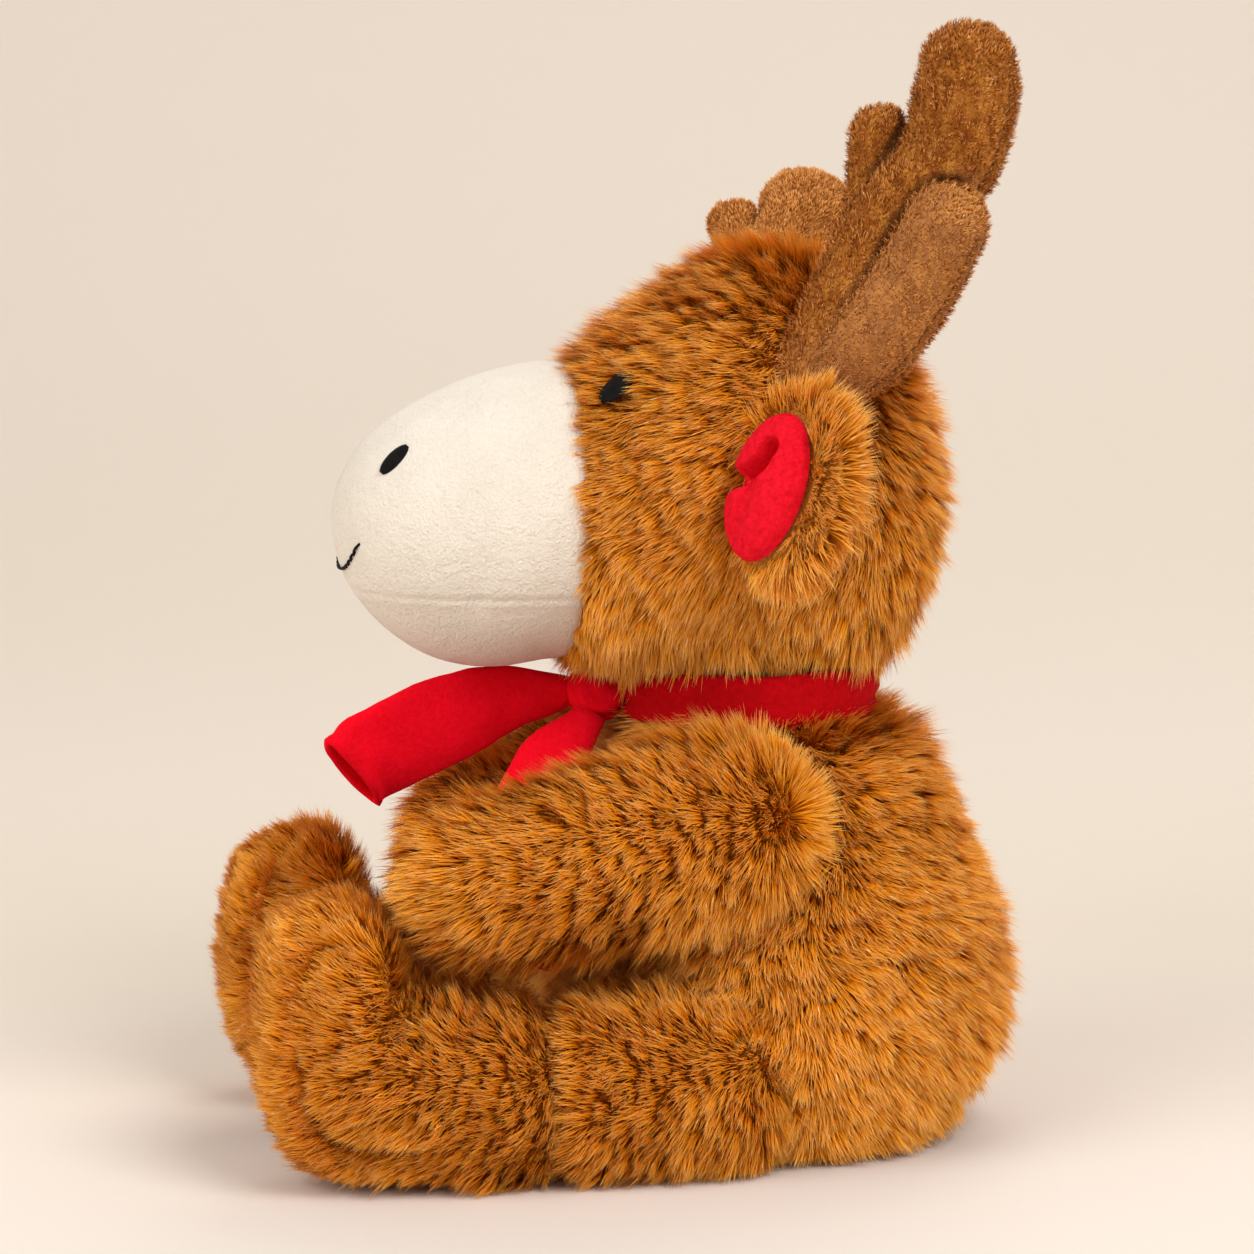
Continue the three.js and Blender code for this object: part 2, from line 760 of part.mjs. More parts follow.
function makeEars() {
  const head = besideHead(gap, fineSides);
  const back = earBowl(0)
    .subtract(earMouth())
    .subtract(head)
    .add(ball(earRoot, earRootRadius, coarseSides))
    .subtract(earBowl(earFurWall));
  const linedAt = earFurWall + gap;
  const lining = earBowl(linedAt)
    .subtract(earBowl(linedAt + liningWall))
    .subtract(earMouth())
    .subtract(head);
  for (const { name, way } of bothSides) {
    addNode(`${name}_ear_back`, way > 0 ? back : mirrored(back), furFabric);
    addNode(`${name}_ear_lining`, way > 0 ? lining : mirrored(lining), redFleece);
  }
}

// An oval of satin stitches that follows the face under it
function stitchedOval(length, width, side, place) {
  const step = width / 4;
  const at = new THREE.Vector3(side, place, topOfHead(side, place));
  const back = new THREE.Vector3(side, place + step, topOfHead(side, place + step)).sub(at);
  const outward = new THREE.Vector3(side + step, place, topOfHead(side + step, place)).sub(at);
  const along = back.normalize();
  const normal = outward.clone().cross(along).normalize();
  const across = normal.clone().cross(along);
  const oval = new THREE.SphereGeometry(1, coarseSides, smallSides);
  oval.scale(length / 2, width / 2, threadRise + gap);
  oval.applyMatrix4(new THREE.Matrix4().makeBasis(along, across, normal).setPosition(at));
  return solidOf(oval).subtract(headForm(gap, fineSides));
}

function makeFace() {
  for (const { name, way } of bothSides) {
    const eye = stitchedOval(eyeLength, eyeWidth, eyeSide, eyePlace);
    const nostril = stitchedOval(nostrilLength, nostrilWidth, nostrilSide, nostrilPlace);
    addNode(`${name}_eye`, way > 0 ? eye : mirrored(eye), blackThread);
    addNode(`${name}_nostril`, way > 0 ? nostril : mirrored(nostril), blackThread);
  }
  const points = [];
  for (let i = -mouthSteps; i <= mouthSteps; i += 1) {
    const share = i / mouthSteps;
    const side = share * mouthHalfWidth;
    const height = mouthHeight + mouthCurl * Math.abs(share) ** mouthCurlPower;
    points.push(new THREE.Vector3(side, frontOfMuzzle(side, height) - mouthThread, height));
  }
  const radii = points.map(() => mouthThread);
  const thread = loft(tubeRings(points, new THREE.Vector3(0, 1, 0), radii, radii), threadSides);
  addNode('mouth_stitch', thread.subtract(headForm(gap, fineSides)), blackThread);
}

// The strip round the neck, with the knot and its two tails at the front
function makeScarf() {
  const low = neckTop - scarfHeight;
  const inner = neckRadius + gap;
  const outer = inner + scarfThickness;
  const round = scarfThickness / 2;
  const section = [
    [inner, low + round / 2],
    [inner + round, low],
    [outer, low + round],
    [outer, neckTop - round],
    [inner + round, neckTop - gap],
    [inner, neckTop - round / 2],
    [inner, low + round / 2],
  ].map(([radius, height]) => new THREE.Vector2(radius, height));
  const band = new THREE.LatheGeometry(section, fineSides).rotateX(Math.PI / 2);
  const ring = solidOf(band.translate(0, neckBack, 0));
  const keptOff = besideTorso(gap, fineSides).add(socketsOf(torsoBalls, 0));
  addNode('scarf_loop', ring.subtract(keptOff), redFleece);

  const knotMiddle = [0, neckBack - outer - knotDepth / 4, neckTop - scarfHeight / 2 - gap];
  const knot = new THREE.SphereGeometry(1, coarseSides, smallSides);
  knot.scale(knotWidth / 2, knotDepth / 2, knotHeight / 2).translate(...knotMiddle);
  const frontRoot = [-knotWidth / 8, knotMiddle[1] - knotDepth / 2, knotMiddle[2]];
  const sideRoot = [knotWidth / 3, knotMiddle[1] - knotDepth / 4, knotMiddle[2] - knotHeight / 3];
  const tails = [
    {
      name: 'scarf_front_tail',
      root: frontRoot,
      reach: frontTailReach,
      shares: frontTailShares,
      side: new THREE.Vector3(...frontTailFlat),
    },
    {
      name: 'scarf_side_tail',
      root: sideRoot,
      reach: sideTailReach,
      shares: sideTailShares,
      side: new THREE.Vector3(...sideTailFlat),
    },
  ];
  const loopRoom = new THREE.LatheGeometry(
    section.map((p) => new THREE.Vector2(p.x + (p.x > inner ? gap : -gap), p.y)),
    fineSides,
  ).rotateX(Math.PI / 2);
  const rooms = solidsJoined(tails.map(({ root }) => socket(root, tailRootRadius)));
  const kept = keptOff.add(solidOf(loopRoom.translate(0, neckBack, 0)));
  addNode('scarf_knot', solidOf(knot).subtract(kept).subtract(rooms), redFleece);
  for (const { name, root, reach, shares, side } of tails) {
    const points = shares.map(
      ([out, forward, down]) =>
        new THREE.Vector3(root[0] + out * reach, root[1] - forward * reach, root[2] - down * reach),
    );
    const widths = shares.map((share) => (share[3] * tailWidth) / 2);
    const depths = shares.map((share) => (share[4] * tailThickness) / 2);
    const strip = loft(tubeRings(points, side, widths, depths), tineSides);
    addNode(name, strip.add(ball(root, tailRootRadius, tineSides)).subtract(kept), redFleece);
  }
}

makeTorso();
makeHead();
makeArms();
makeLegs();
makeAntlers();
makeEars();
makeFace();
makeScarf();

const deer = new THREE.Group();
for (const { name, solid, material } of nodes) {
  const mesh = new THREE.Mesh(geometryOf(solid), material);
  mesh.name = name;
  deer.add(mesh);
}

export default deer;
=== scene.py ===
import math

import bpy
import numpy as np
from mathutils import Matrix, Vector, noise


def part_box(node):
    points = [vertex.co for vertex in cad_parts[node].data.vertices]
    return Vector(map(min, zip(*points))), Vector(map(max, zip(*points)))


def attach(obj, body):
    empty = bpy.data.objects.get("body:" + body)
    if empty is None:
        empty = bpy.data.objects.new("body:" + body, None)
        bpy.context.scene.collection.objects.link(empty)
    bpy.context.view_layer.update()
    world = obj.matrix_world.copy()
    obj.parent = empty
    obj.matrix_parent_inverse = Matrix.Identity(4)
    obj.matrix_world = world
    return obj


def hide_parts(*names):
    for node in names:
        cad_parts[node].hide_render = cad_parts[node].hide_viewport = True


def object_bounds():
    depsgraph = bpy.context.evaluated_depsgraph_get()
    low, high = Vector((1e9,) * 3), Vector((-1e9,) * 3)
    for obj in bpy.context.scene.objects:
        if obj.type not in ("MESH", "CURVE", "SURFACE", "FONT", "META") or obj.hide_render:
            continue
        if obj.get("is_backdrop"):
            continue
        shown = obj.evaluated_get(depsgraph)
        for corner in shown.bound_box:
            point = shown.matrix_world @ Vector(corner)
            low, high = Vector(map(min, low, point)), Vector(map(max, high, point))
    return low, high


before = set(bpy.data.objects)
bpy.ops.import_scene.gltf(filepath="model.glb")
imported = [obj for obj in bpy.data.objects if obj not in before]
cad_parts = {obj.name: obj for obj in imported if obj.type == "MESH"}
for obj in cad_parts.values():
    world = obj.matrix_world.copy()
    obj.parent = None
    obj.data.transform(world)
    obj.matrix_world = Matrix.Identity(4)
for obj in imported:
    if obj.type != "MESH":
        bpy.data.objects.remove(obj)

cad_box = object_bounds()

# The deer sits on the floor at the origin and faces -Y. Its left side is +X. All lengths are metres.
MM = 0.001
UP = np.array([0.0, 0.0, 1.0])
SIDES = (("left", 1), ("right", -1))

# The photograph's camera
AIM = (0.0, -0.040, 0.1316)
AZIMUTH = 80.0
ELEVATION = 7.0
DISTANCE = 1.15
SENSOR = 36.0
FOCAL_PIXELS = 4450.0
IMAGE_PIXELS = 1254.0

# Fabrics
ROOT_DEPTH = 4.8 * MM  # the pile's roots lie this far inside the CAD surface
WAD_DEPTH = 7.0 * MM  # the filling lies this far inside it
STRAND_WIDTH = 0.33 * MM
DENSITY = 3.38e6
FUR_SIZES = {
    "Strands per square metre": DENSITY,
    "Length": 8.4 * MM,
    "Width": STRAND_WIDTH,
    "Tuft size": 3.2 * MM,
    "Tuft pull": 0.85,
    "Tint spread": 1.0,
    "Lock size": 13 * MM,
    "Lock spread": 1.0,
    "Stray": 0.2,
}
FLOOR_GAP = 0.15 * MM  # strands stay this far above the floor
FUR_FLOOR = 2.0 * MM  # no fur grows on the torso below this height
SEAT_GAP = 1.0 * MM  # the cloth of the seat and the feet lies this far above the floor
SEAT_RISE = 24 * MM
TINT_TOP = 0.88  # the tint of the palest plain strand
GLINT_ABOVE = 0.985  # the strands whose chance is above this get a painted glint, a painted highlight near the tip

# Torso
TORSO_SIZE = np.array([132.0, 123.0, 110.0]) * MM
NECK_RADIUS = 29 * MM
NECK_RISE = 12.7 * MM
NECK_BACK = -9 * MM
NECK_TOP = TORSO_SIZE[2] + NECK_RISE
# height, half width, half depth and how far back, as shares
TORSO = [
    (0.0, 0.62, 0.561, -0.012),
    (0.035, 0.77, 0.707, -0.02),
    (0.106, 0.885, 0.829, -0.016),
    (0.212, 0.97, 0.948, -0.006),
    (0.336, 1.0, 0.988, -0.006),
    (0.496, 0.97, 0.959, -0.004),
    (0.655, 0.9, 0.874, -0.014),
    (0.796, 0.8, 0.793, -0.018),
    (0.903, 0.68, 0.703, -0.022),
    (0.973, 0.56, 0.61, -0.037),
    (1.028, 0.45, 0.48, -0.073),
    (1.115, 0.44, 0.47, -0.073),
]

# Head and muzzle, from the back of the head to the nose
HEAD_SIZE = np.array([112.0, 98.5, 109.0]) * MM
HEAD_MIDDLE = 176.5 * MM
SEAM_PLACE = -57 * MM
HEAD = [
    (0.0, 0.0, 0.0, -0.133),
    (0.016, 0.3, 0.32, -0.124),
    (0.067, 0.571, 0.587, -0.106),
    (0.15, 0.75, 0.789, -0.078),
    (0.275, 0.902, 0.954, -0.032),
    (0.409, 0.982, 1.0, 0.0),
    (0.534, 1.0, 1.0, 0.0),
    (0.658, 0.973, 0.945, -0.023),
    (0.782, 0.911, 0.872, -0.06),
    (0.896, 0.839, 0.798, -0.096),
    (1.0, 0.765, 0.725, -0.13),
    (1.06, 0.68, 0.66, -0.138),
]
MUZZLE_SIZE = np.array([81.6, 59.6, 77.4]) * MM
MUZZLE_MIDDLE = 162 * MM
CHIN_SEAM = 143 * MM
MUZZLE = [
    (-0.06, 0.86, 0.86, 0.012),
    (0.0, 0.985, 0.985, 0.006),
    (0.11, 1.0, 1.0, 0.0),
    (0.27, 0.98, 0.997, -0.0195),
    (0.427, 0.931, 0.955, -0.0364),
    (0.585, 0.846, 0.869, -0.046),
    (0.728, 0.723, 0.741, -0.045),
    (0.854, 0.559, 0.572, -0.039),
    (0.934, 0.38, 0.387, -0.0305),
    (0.981, 0.196, 0.204, -0.0214),
    (1.0, 0.0, 0.0, -0.017),
]

# Arms
SHOULDER = np.array([47.0, -25.0, 85.5]) * MM
SHOULDER_RADIUS = 27 * MM
ARM_REACH = 82.5 * MM
ARM_BOW = 6.5 * MM
ARM_DROP = 12 * MM
ARM_TURN = {"left": 0.0, "right": 29.0}
# reach, bow, drop, half width and half height
ARM = [
    (0.13, 0.3, 0.09, 0.96, 1.0),
    (0.25, 0.55, 0.21, 0.9, 0.98),
    (0.45, 0.93, 0.47, 0.82, 0.91),
    (0.64, 1.0, 0.74, 0.75, 0.84),
    (0.8, 0.86, 0.9, 0.69, 0.76),
    (0.91, 0.7, 0.96, 0.55, 0.61),
    (0.976, 0.62, 1.0, 0.33, 0.36),
    (1.0, 0.6, 1.0, 0.0, 0.0),
]

# Legs
HIP = np.array([47.0, -27.0, 24.0]) * MM
HIP_RADIUS = 24.5 * MM
LEG_REACH = 117 * MM
LEG_BOW = 5 * MM
FOOT_HEIGHT = 74 * MM
FOOT_WIDTH = 54 * MM
ANKLE_PLACE = -69 * MM
HEEL_TOP = 36 * MM
FULL_INSTEP = {"left": 4 * MM, "right": 6 * MM}  # how far the scene's instep stands over the CAD's
# reach, bow, half width and half height
THIGH = [
    (0.1, 0.25, 1.0, 1.0),
    (0.26, 0.8, 0.98, 0.99),
    (0.38, 1.0, 0.93, 0.965),
]
# reach, bow, half width, top and bottom
FOOT = [
    (0.475, 1.0, 0.9, 0.65, 0.0),
    (0.58, 0.9, 0.95, 0.69, 0.0),
    (0.665, 0.8, 0.985, 0.76, 0.0),
    (0.73, 0.7, 1.0, 0.92, 0.002),
    (0.79, 0.64, 1.0, 0.985, 0.012),
    (0.85, 0.58, 0.97, 1.0, 0.035),
    (0.91, 0.54, 0.87, 0.965, 0.1),
    (0.957, 0.5, 0.67, 0.88, 0.21),
    (0.987, 0.48, 0.38, 0.74, 0.36),
    (1.0, 0.46, 0.0, 0.54, 0.54),
]
BALL_ANGLES = (90, 65, 40, 18, 0)

# Ears
EAR_SIZE = np.array([38.0, 13.0, 54.0]) * MM
EAR_PLACE = np.array([67.5, -13.0, 174.0]) * MM
EAR_TURN = 38.0
EAR_TILT = 14.0
EAR_FRONT = 3 * MM  # how far the padding reaches in front of the bowl's rim
# from the back to the front, half width and half height
EAR = [
    (0.0, 0.0, 0.0, 0.0),
    (0.04, 0.38, 0.38, 0.0),
    (0.2, 0.76, 0.76, 0.0),
    (0.45, 0.97, 0.97, 0.0),
    (0.7, 1.0, 1.0, 0.0),
    (0.88, 0.9, 0.9, 0.0),
    (0.98, 0.66, 0.66, 0.0),
    (1.0, 0.3, 0.3, 0.0),
    (1.0, 0.0, 0.0, 0.0),
]

# Antlers
ANTLER_ROOT = np.array([46.0, -1.0, 199.0]) * MM
ANTLER_REACH = 89 * MM
ANTLER_THICKNESS = 0.82
FLAT_OF_ANTLER = np.array([1.0, 1.0, 0.0]) / math.sqrt(2)
ANTLER_TURNS = {"left": (0, 0, 0), "right": (5, 72, 30)}
TINE_PAINTED_LIGHT = {"left": 0.38, "right": 0.08}  # painted light: how much paler the outer tine is painted where light falls on it; the far antler, in shade, gets little
# outwards, back, up and radius
TINES = {
    "main": [
        (-0.01, -0.02, -0.06, 0.115),
        (0.0, 0.02, 0.02, 0.135),
        (0.011, 0.14, 0.225, 0.162),
        (0.028, 0.235, 0.43, 0.162),
        (0.056, 0.365, 0.607, 0.157),
        (0.079, 0.408, 0.775, 0.155),
        (0.09, 0.411, 0.865, 0.142),
    ],
    "inner": [
        (0.01, 0.16, 0.36, 0.1),
        (-0.045, 0.19, 0.52, 0.098),
        (-0.067, 0.2, 0.675, 0.094),
    ],
    "outer": [
        (0.01, 0.02, 0.01, 0.12),
        (0.085, 0.129, 0.1, 0.142),
        (0.16, 0.242, 0.27, 0.137),
        (0.225, 0.326, 0.44, 0.122),
    ],
}

# Scarf
SCARF_HEIGHT = 14 * MM
SCARF_THICKNESS = 6 * MM
SCARF_INNER = 29.3 * MM
KNOT_SIZE = np.array([22.0, 15.0, 15.0]) * MM
SCARF_FRONT = NECK_BACK - SCARF_INNER - SCARF_THICKNESS
KNOT_MIDDLE = np.array([0, SCARF_FRONT - KNOT_SIZE[1] / 4 + 0.3 * MM, NECK_TOP - SCARF_HEIGHT / 2 - 0.3 * MM])
TAIL_WIDTH = 24 * MM
TAIL_THICKNESS = 7 * MM
CLOTH = 1.7 * MM
WAVE_SEED = 1795884757  # unseeded, the cloth's waves would differ from run to run
# sideways, forwards, down, width and thickness
FRONT_TAIL = (58 * MM, [
    (0.0, 0.0, 0.0, 0.34, 0.9),
    (0.02, 0.2, 0.02, 0.62, 0.95),
    (0.05, 0.4, 0.07, 0.86, 1.0),
    (0.085, 0.66, 0.155, 1.0, 1.0),
    (0.13, 0.89, 0.27, 1.0, 1.0),
    (0.21, 0.99, 0.33, 0.98, 1.05),
])
SIDE_TAIL = (62 * MM, [
    (0.0, 0.0, 0.0, 0.34, 0.9),
    (0.05, 0.13, 0.16, 0.7, 1.0),
    (0.11, 0.24, 0.38, 0.95, 1.0),
    (0.16, 0.33, 0.66, 1.0, 0.95),
    (0.19, 0.38, 0.94, 0.98, 0.9),
])

# Face embroidery
EYE_SIZE = (10.6 * MM, 6.2 * MM)
EYE_PLACE = (33 * MM, -48.5 * MM)
NOSTRIL_SIZE = (9.4 * MM, 4.5 * MM)
NOSTRIL_PLACE = (19.4 * MM, -102.7 * MM)
THREAD = 0.45 * MM
MOUTH_WIDTH = 34 * MM
MOUTH_HEIGHT = 148.4 * MM
MOUTH_CURL = 7.4 * MM
MOUTH_STITCHES = 15


def smoothed(low, high, value):
    share = np.clip((value - low) / (high - low), 0.0, 1.0)
    return share * share * (3 - 2 * share)


def unit(vectors):
    return vectors / np.maximum(np.linalg.norm(vectors, axis=-1, keepdims=True), 1e-12)


def through(stations, steps):
    """Rows on one smooth curve through the stations. A row whose last two values are nothing is a round end."""
    rows = np.array(stations, float)
    first, last = 2 * rows[0] - rows[1], 2 * rows[-1] - rows[-2]
    for phantom, end, beside in ((first, rows[0], rows[1]), (last, rows[-1], rows[-2])):
        if len(end) == 4 and end[1] == 0 and end[2] == 0:
            phantom[:] = beside * (1, -1, -1, 1)
        if len(end) == 5 and end[3] == 0 and end[4] == 0:
            phantom[:] = beside * (1, 1, 1, -1, -1)
    p = np.vstack([first, rows, last])
    out = []
    for i in range(len(rows) - 1):
        a, b, c, d = p[i : i + 4]
        for t in np.arange(steps) / steps:
            out.append(
                0.5 * (2 * b + (c - a) * t + (2 * a - 5 * b + 4 * c - d) * t**2 + (3 * b - a - 3 * c + d) * t**3)
            )
    return np.array(out + [rows[-1]])


def mesh_object(name, places, faces):
    mesh = bpy.data.meshes.new(name)
    mesh.from_pydata([tuple(p) for p in places], [], [tuple(int(i) for i in f) for f in faces])
    mesh.polygons.foreach_set("use_smooth", [True] * len(mesh.polygons))
    mesh.update()
    made = bpy.data.objects.new(name, mesh)
    bpy.context.scene.collection.objects.link(made)
    return made


def places_of(obj):
    flat = np.empty(len(obj.data.vertices) * 3)
    obj.data.vertices.foreach_get("co", flat)
    return flat.reshape(-1, 3)


def normals_of(obj):
    flat = np.empty(len(obj.data.vertices) * 3)
    obj.data.vertices.foreach_get("normal", flat)
    return flat.reshape(-1, 3)


def put(obj, places):
    obj.data.vertices.foreach_set("co", np.ascontiguousarray(places, float).ravel())
    obj.data.update()


def lofted(name, middles, across, over, sides=48):
    """A closed skin over rings, each with a middle and two half axes. A ring with no width is a pole."""
    places, starts = [], []
    turns = 2 * np.pi * np.arange(sides) / sides
    for m, a, o in zip(middles, across, over):
        starts.append((len(places), np.linalg.norm(a) > 1e-7))
        if starts[-1][1]:
            places.extend(m + np.cos(turns)[:, None] * a + np.sin(turns)[:, None] * o)
        else:
            places.append(m)
    faces = []
    for (low, low_ring), (high, high_ring) in zip(starts, starts[1:]):
        for i in range(sides):
            k = (i + 1) % sides
            if low_ring and high_ring:
                faces.append((low + i, low + k, high + k, high + i))
            elif high_ring:
                faces.append((low, high + k, high + i))
            elif low_ring:
                faces.append((low + i, low + k, high))
    for (start, ring), turn_over in ((starts[0], True), (starts[-1], False)):
        if ring:
            rim = list(range(start, start + sides))
            hub = len(places)
            places.append(np.mean([places[i] for i in rim], axis=0))
            for i in range(sides):
                pair = (rim[i], rim[(i + 1) % sides])
                faces.append((hub, pair[1], pair[0]) if turn_over else (hub, *pair))
    p = np.array(places)
    volume = 0.0
    for f in faces:
        for i in range(1, len(f) - 1):
            volume += p[f[0]].dot(np.cross(p[f[i]], p[f[i + 1]]))
    if volume < 0:
        faces = [f[::-1] for f in faces]
    return mesh_object(name, p, faces)


def axis_rows(values, axis):
    """The values along one axis, with nothing along the other two."""
    rows = np.zeros((len(values), 3))
    rows[:, axis] = values
    return rows


def grown(obj, by):
    put(obj, places_of(obj) + normals_of(obj) * by)
    return obj


def mirrored(places, way):
    return places * np.array([way, 1, 1])


def closeness(p, route, width):
    """1 on a route of points, falling to 0 over a width."""
    route = np.array(route)
    near = np.full(len(p), 1.0)
    for a, b in zip(route, route[1:]):
        share = np.clip(((p - a) @ (b - a)) / ((b - a) @ (b - a)), 0, 1)
        near = np.minimum(near, np.linalg.norm(p - a - share[:, None] * (b - a), axis=1))
    return np.exp(-((near / width) ** 2))


def carved(obj, route, depth, width):
    """A sewn groove along a route of points."""
    p = places_of(obj)
    put(obj, p - normals_of(obj) * (depth * closeness(p, route, width))[:, None])
    return obj


# Forms


def torso_form(name, inset):
    rows = through(TORSO, 5)
    middles = axis_rows(rows[:, 3] * TORSO_SIZE[1], 1) + axis_rows(rows[:, 0] * TORSO_SIZE[2], 2)
    across = axis_rows(rows[:, 1] * TORSO_SIZE[0] / 2, 0)
    over = axis_rows(rows[:, 2] * TORSO_SIZE[1] / 2, 1)
    return seated(grown(lofted(name, middles, across, over, 64), -inset), inset)


def seated(made, inset):
    """The underside comes back down, so that it rests on the floor."""
    p = places_of(made)
    p[:, 2] -= (inset - SEAT_GAP) * (1 - smoothed(inset, SEAT_RISE, p[:, 2]))
    put(made, p)
    return made


def facing_rows(rows, size, back_place, middle):
    """Rings of the head or muzzle, which stand square to Y."""
    middles = axis_rows(back_place - rows[:, 0] * size[1], 1) + axis_rows(middle + rows[:, 3] * size[2], 2)
    return middles, axis_rows(rows[:, 1] * size[0] / 2, 0), axis_rows(rows[:, 2] * size[2] / 2, 2)


def head_form(name, inset):
    rings = facing_rows(through(HEAD, 5), HEAD_SIZE, SEAM_PLACE + HEAD_SIZE[1], HEAD_MIDDLE)
    made = grown(lofted(name, *rings, 64), -inset)
    p = places_of(made)
    over_neck = 1 - outside_of(p * (1, 1, 0), np.array([0, NECK_BACK, 0]), NECK_RADIUS, NECK_RADIUS + 16 * MM)
    low = over_neck * smoothed(HEAD_MIDDLE, NECK_TOP, p[:, 2])
    p[:, 2] = np.maximum(p[:, 2] - 0.8 * inset * low, NECK_TOP + 0.6 * MM)
    put(made, p)
    return made


def muzzle_form(name, inset):
    rings = facing_rows(through(MUZZLE, 10), MUZZLE_SIZE, SEAM_PLACE, MUZZLE_MIDDLE)
    return grown(lofted(name, *rings, 288), -inset)


def limb_rings(socket, radius, rows):
    """A round end, then rows of X, Y, Z, half width and half height."""
    start = []
    for a in map(math.radians, BALL_ANGLES):
        start.append((socket[0], socket[1] + radius * math.sin(a), socket[2], *[radius * math.cos(a)] * 2))
    start[0] = (*start[0][:3], 0.0, 0.0)
    rings = through(start + rows, 5)
    width, height = np.maximum(rings[:, 3], 0), np.maximum(rings[:, 4], 0)
    return rings[:, :3], axis_rows(width, 0), axis_rows(height, 2)


def arm_form(name, side, inset):
    way = dict(SIDES)[side]
    turn = math.radians(ARM_TURN[side])
    rows = [
        (
            SHOULDER[0] + bow * ARM_BOW - reach * ARM_REACH * math.sin(turn),
            SHOULDER[1] - reach * ARM_REACH * math.cos(turn),
            SHOULDER[2] - drop * ARM_DROP,
            width * SHOULDER_RADIUS,
            height * SHOULDER_RADIUS,
        )
        for reach, bow, drop, width, height in ARM
    ]
    middles, across, over = limb_rings(SHOULDER, SHOULDER_RADIUS, rows)
    return grown(lofted(name, mirrored(middles, way), across, over), -inset)


def leg_form(name, side, inset):
    way = dict(SIDES)[side]
    rows = []
    for reach, bow, width, height in THIGH:
        sizes = np.array([height, width, height]) * HIP_RADIUS
        rows.append((HIP[0] + bow * LEG_BOW, HIP[1] - reach * LEG_REACH, *sizes))
    for reach, bow, width, top, bottom in FOOT:
        sizes = (top + bottom) / 2 * FOOT_HEIGHT, width * FOOT_WIDTH / 2, (top - bottom) / 2 * FOOT_HEIGHT
        rows.append((HIP[0] + bow * LEG_BOW, HIP[1] - reach * LEG_REACH, *sizes))
    middles, across, over = limb_rings(HIP, HIP_RADIUS, rows)
    made = grown(lofted(name, mirrored(middles, way), across, over, 96), -inset)
    p, n = places_of(made), normals_of(made)
    seam = 3.2 * MM * foot_band(p, n)[1]
    ankle = 2.5 * MM * ankle_crease(p)
    instep = smoothed(-0.128, -0.114, p[:, 1]) * smoothed(-0.078, -0.098, p[:, 1]) * smoothed(0.04, 0.06, p[:, 2])
    full = FULL_INSTEP[side] * instep
    put(made, p - n * (seam + ankle - full)[:, None])
    return seated(made, inset)


def foot_band(p, n):
    """1 on the band that runs round the foot's edge, and 1 in the seams that join it to the foot's sides."""
    foot = smoothed(ANKLE_PLACE - 22 * MM, ANKLE_PLACE - 38 * MM, p[:, 1])
    side = np.abs(n[:, 0])
    return foot * smoothed(0.8, 0.68, side), foot * np.exp(-(((side - 0.76) / 0.08) ** 2))


def ankle_crease(p):
    """1 in the fold between the foot and the thigh."""
    return np.exp(-(((p[:, 1] - ANKLE_PLACE) / (4 * MM)) ** 2))


def tube_rings(rows, side, thickness):
    """Rings square to a path of points with radii, with round ends."""
    points, radii = rows[:, :3], rows[:, 3]
    along = unit(np.gradient(points, axis=0))
    across = unit(side - (along @ side)[:, None] * along)
    over = np.cross(along, across)
    middles, wide, deep = [], [], []
    for end, way, angles in ((0, -1, (90, 65, 40, 18)), (None, 0, ()), (-1, 1, (18, 40, 65, 90))):
        if end is None:
            middles.extend(points)
            wide.extend(across * radii[:, None])
            deep.extend(over * (radii * thickness)[:, None])
            continue
        for angle in angles:
            shift, share = math.sin(math.radians(angle)), math.cos(math.radians(angle)) if angle < 90 else 0.0
            middles.append(points[end] + way * along[end] * radii[end] * shift * thickness)
            wide.append(across[end] * radii[end] * share)
            deep.append(over[end] * radii[end] * thickness * share)
    return np.array(middles), np.array(wide), np.array(deep)


def turn_matrix(degrees):
    x, y, z = (math.radians(d) for d in degrees)
    return Matrix.Rotation(x, 3, "X") @ Matrix.Rotation(y, 3, "Y") @ Matrix.Rotation(z, 3, "Z")


def antler_form(name, side, inset, voxel=0.7 * MM):
    """The tines are joined by a remesh. The mark called fold is 1 in the creases and in the sewn grooves, where the
    plush is painted dark as painted shade; the mark called tone paints the outer tine paler as painted light.
    """
    way = dict(SIDES)[side]
    turn = np.array(turn_matrix(ANTLER_TURNS[side]))
    tines = []
    for key, stations in TINES.items():
        rows = through(np.array(stations) * ANTLER_REACH, 5)
        rows[:, 3] -= inset
        rings = tube_rings(rows, FLAT_OF_ANTLER, ANTLER_THICKNESS)
        tines.append(lofted(f"{name}_{key}", *rings, 24))
    made = joined(tines, name)
    remeshed(made, voxel, 3)
    hollow = hollowness(made, 6)
    put(made, places_of(made) - normals_of(made) * (1.6 * MM * hollow)[:, None])
    groove = np.maximum.reduce([closeness(places_of(made), route, 1.3 * MM) for route in antler_seams()])
    put(made, places_of(made) - normals_of(made) * (1.5 * MM * groove)[:, None])
    # The fold mark shortens the nap and is painted dark as painted shade in the creases
    set_attribute(made.data, "fold", "FLOAT", np.clip(np.maximum(hollow, 0.8 * groove), 0, 1))
    p = places_of(made)
    outer, main = (
        closeness(p, through(np.array(TINES[key]) * ANTLER_REACH, 4)[:, :3], 14 * MM) for key in ("outer", "main")
    )
    # Painted light: the outer tine's plush and nap are painted paler by this tone mark
    set_attribute(made.data, "tone", "FLOAT", TINE_PAINTED_LIGHT[side] * smoothed(-0.15, 0.2, outer - main))
    return placed(made, turn, ANTLER_ROOT, way)


def antler_seams():
    """The seams run up the outer flat side of the two big tines."""
    for key in ("main", "outer"):
        rows = through(np.array(TINES[key]) * ANTLER_REACH, 4)
        along = unit(np.gradient(rows[:, :3], axis=0))
        across = unit(FLAT_OF_ANTLER - (along @ FLAT_OF_ANTLER)[:, None] * along)
        yield rows[3:, :3] + across[3:] * rows[3:, 3:4]


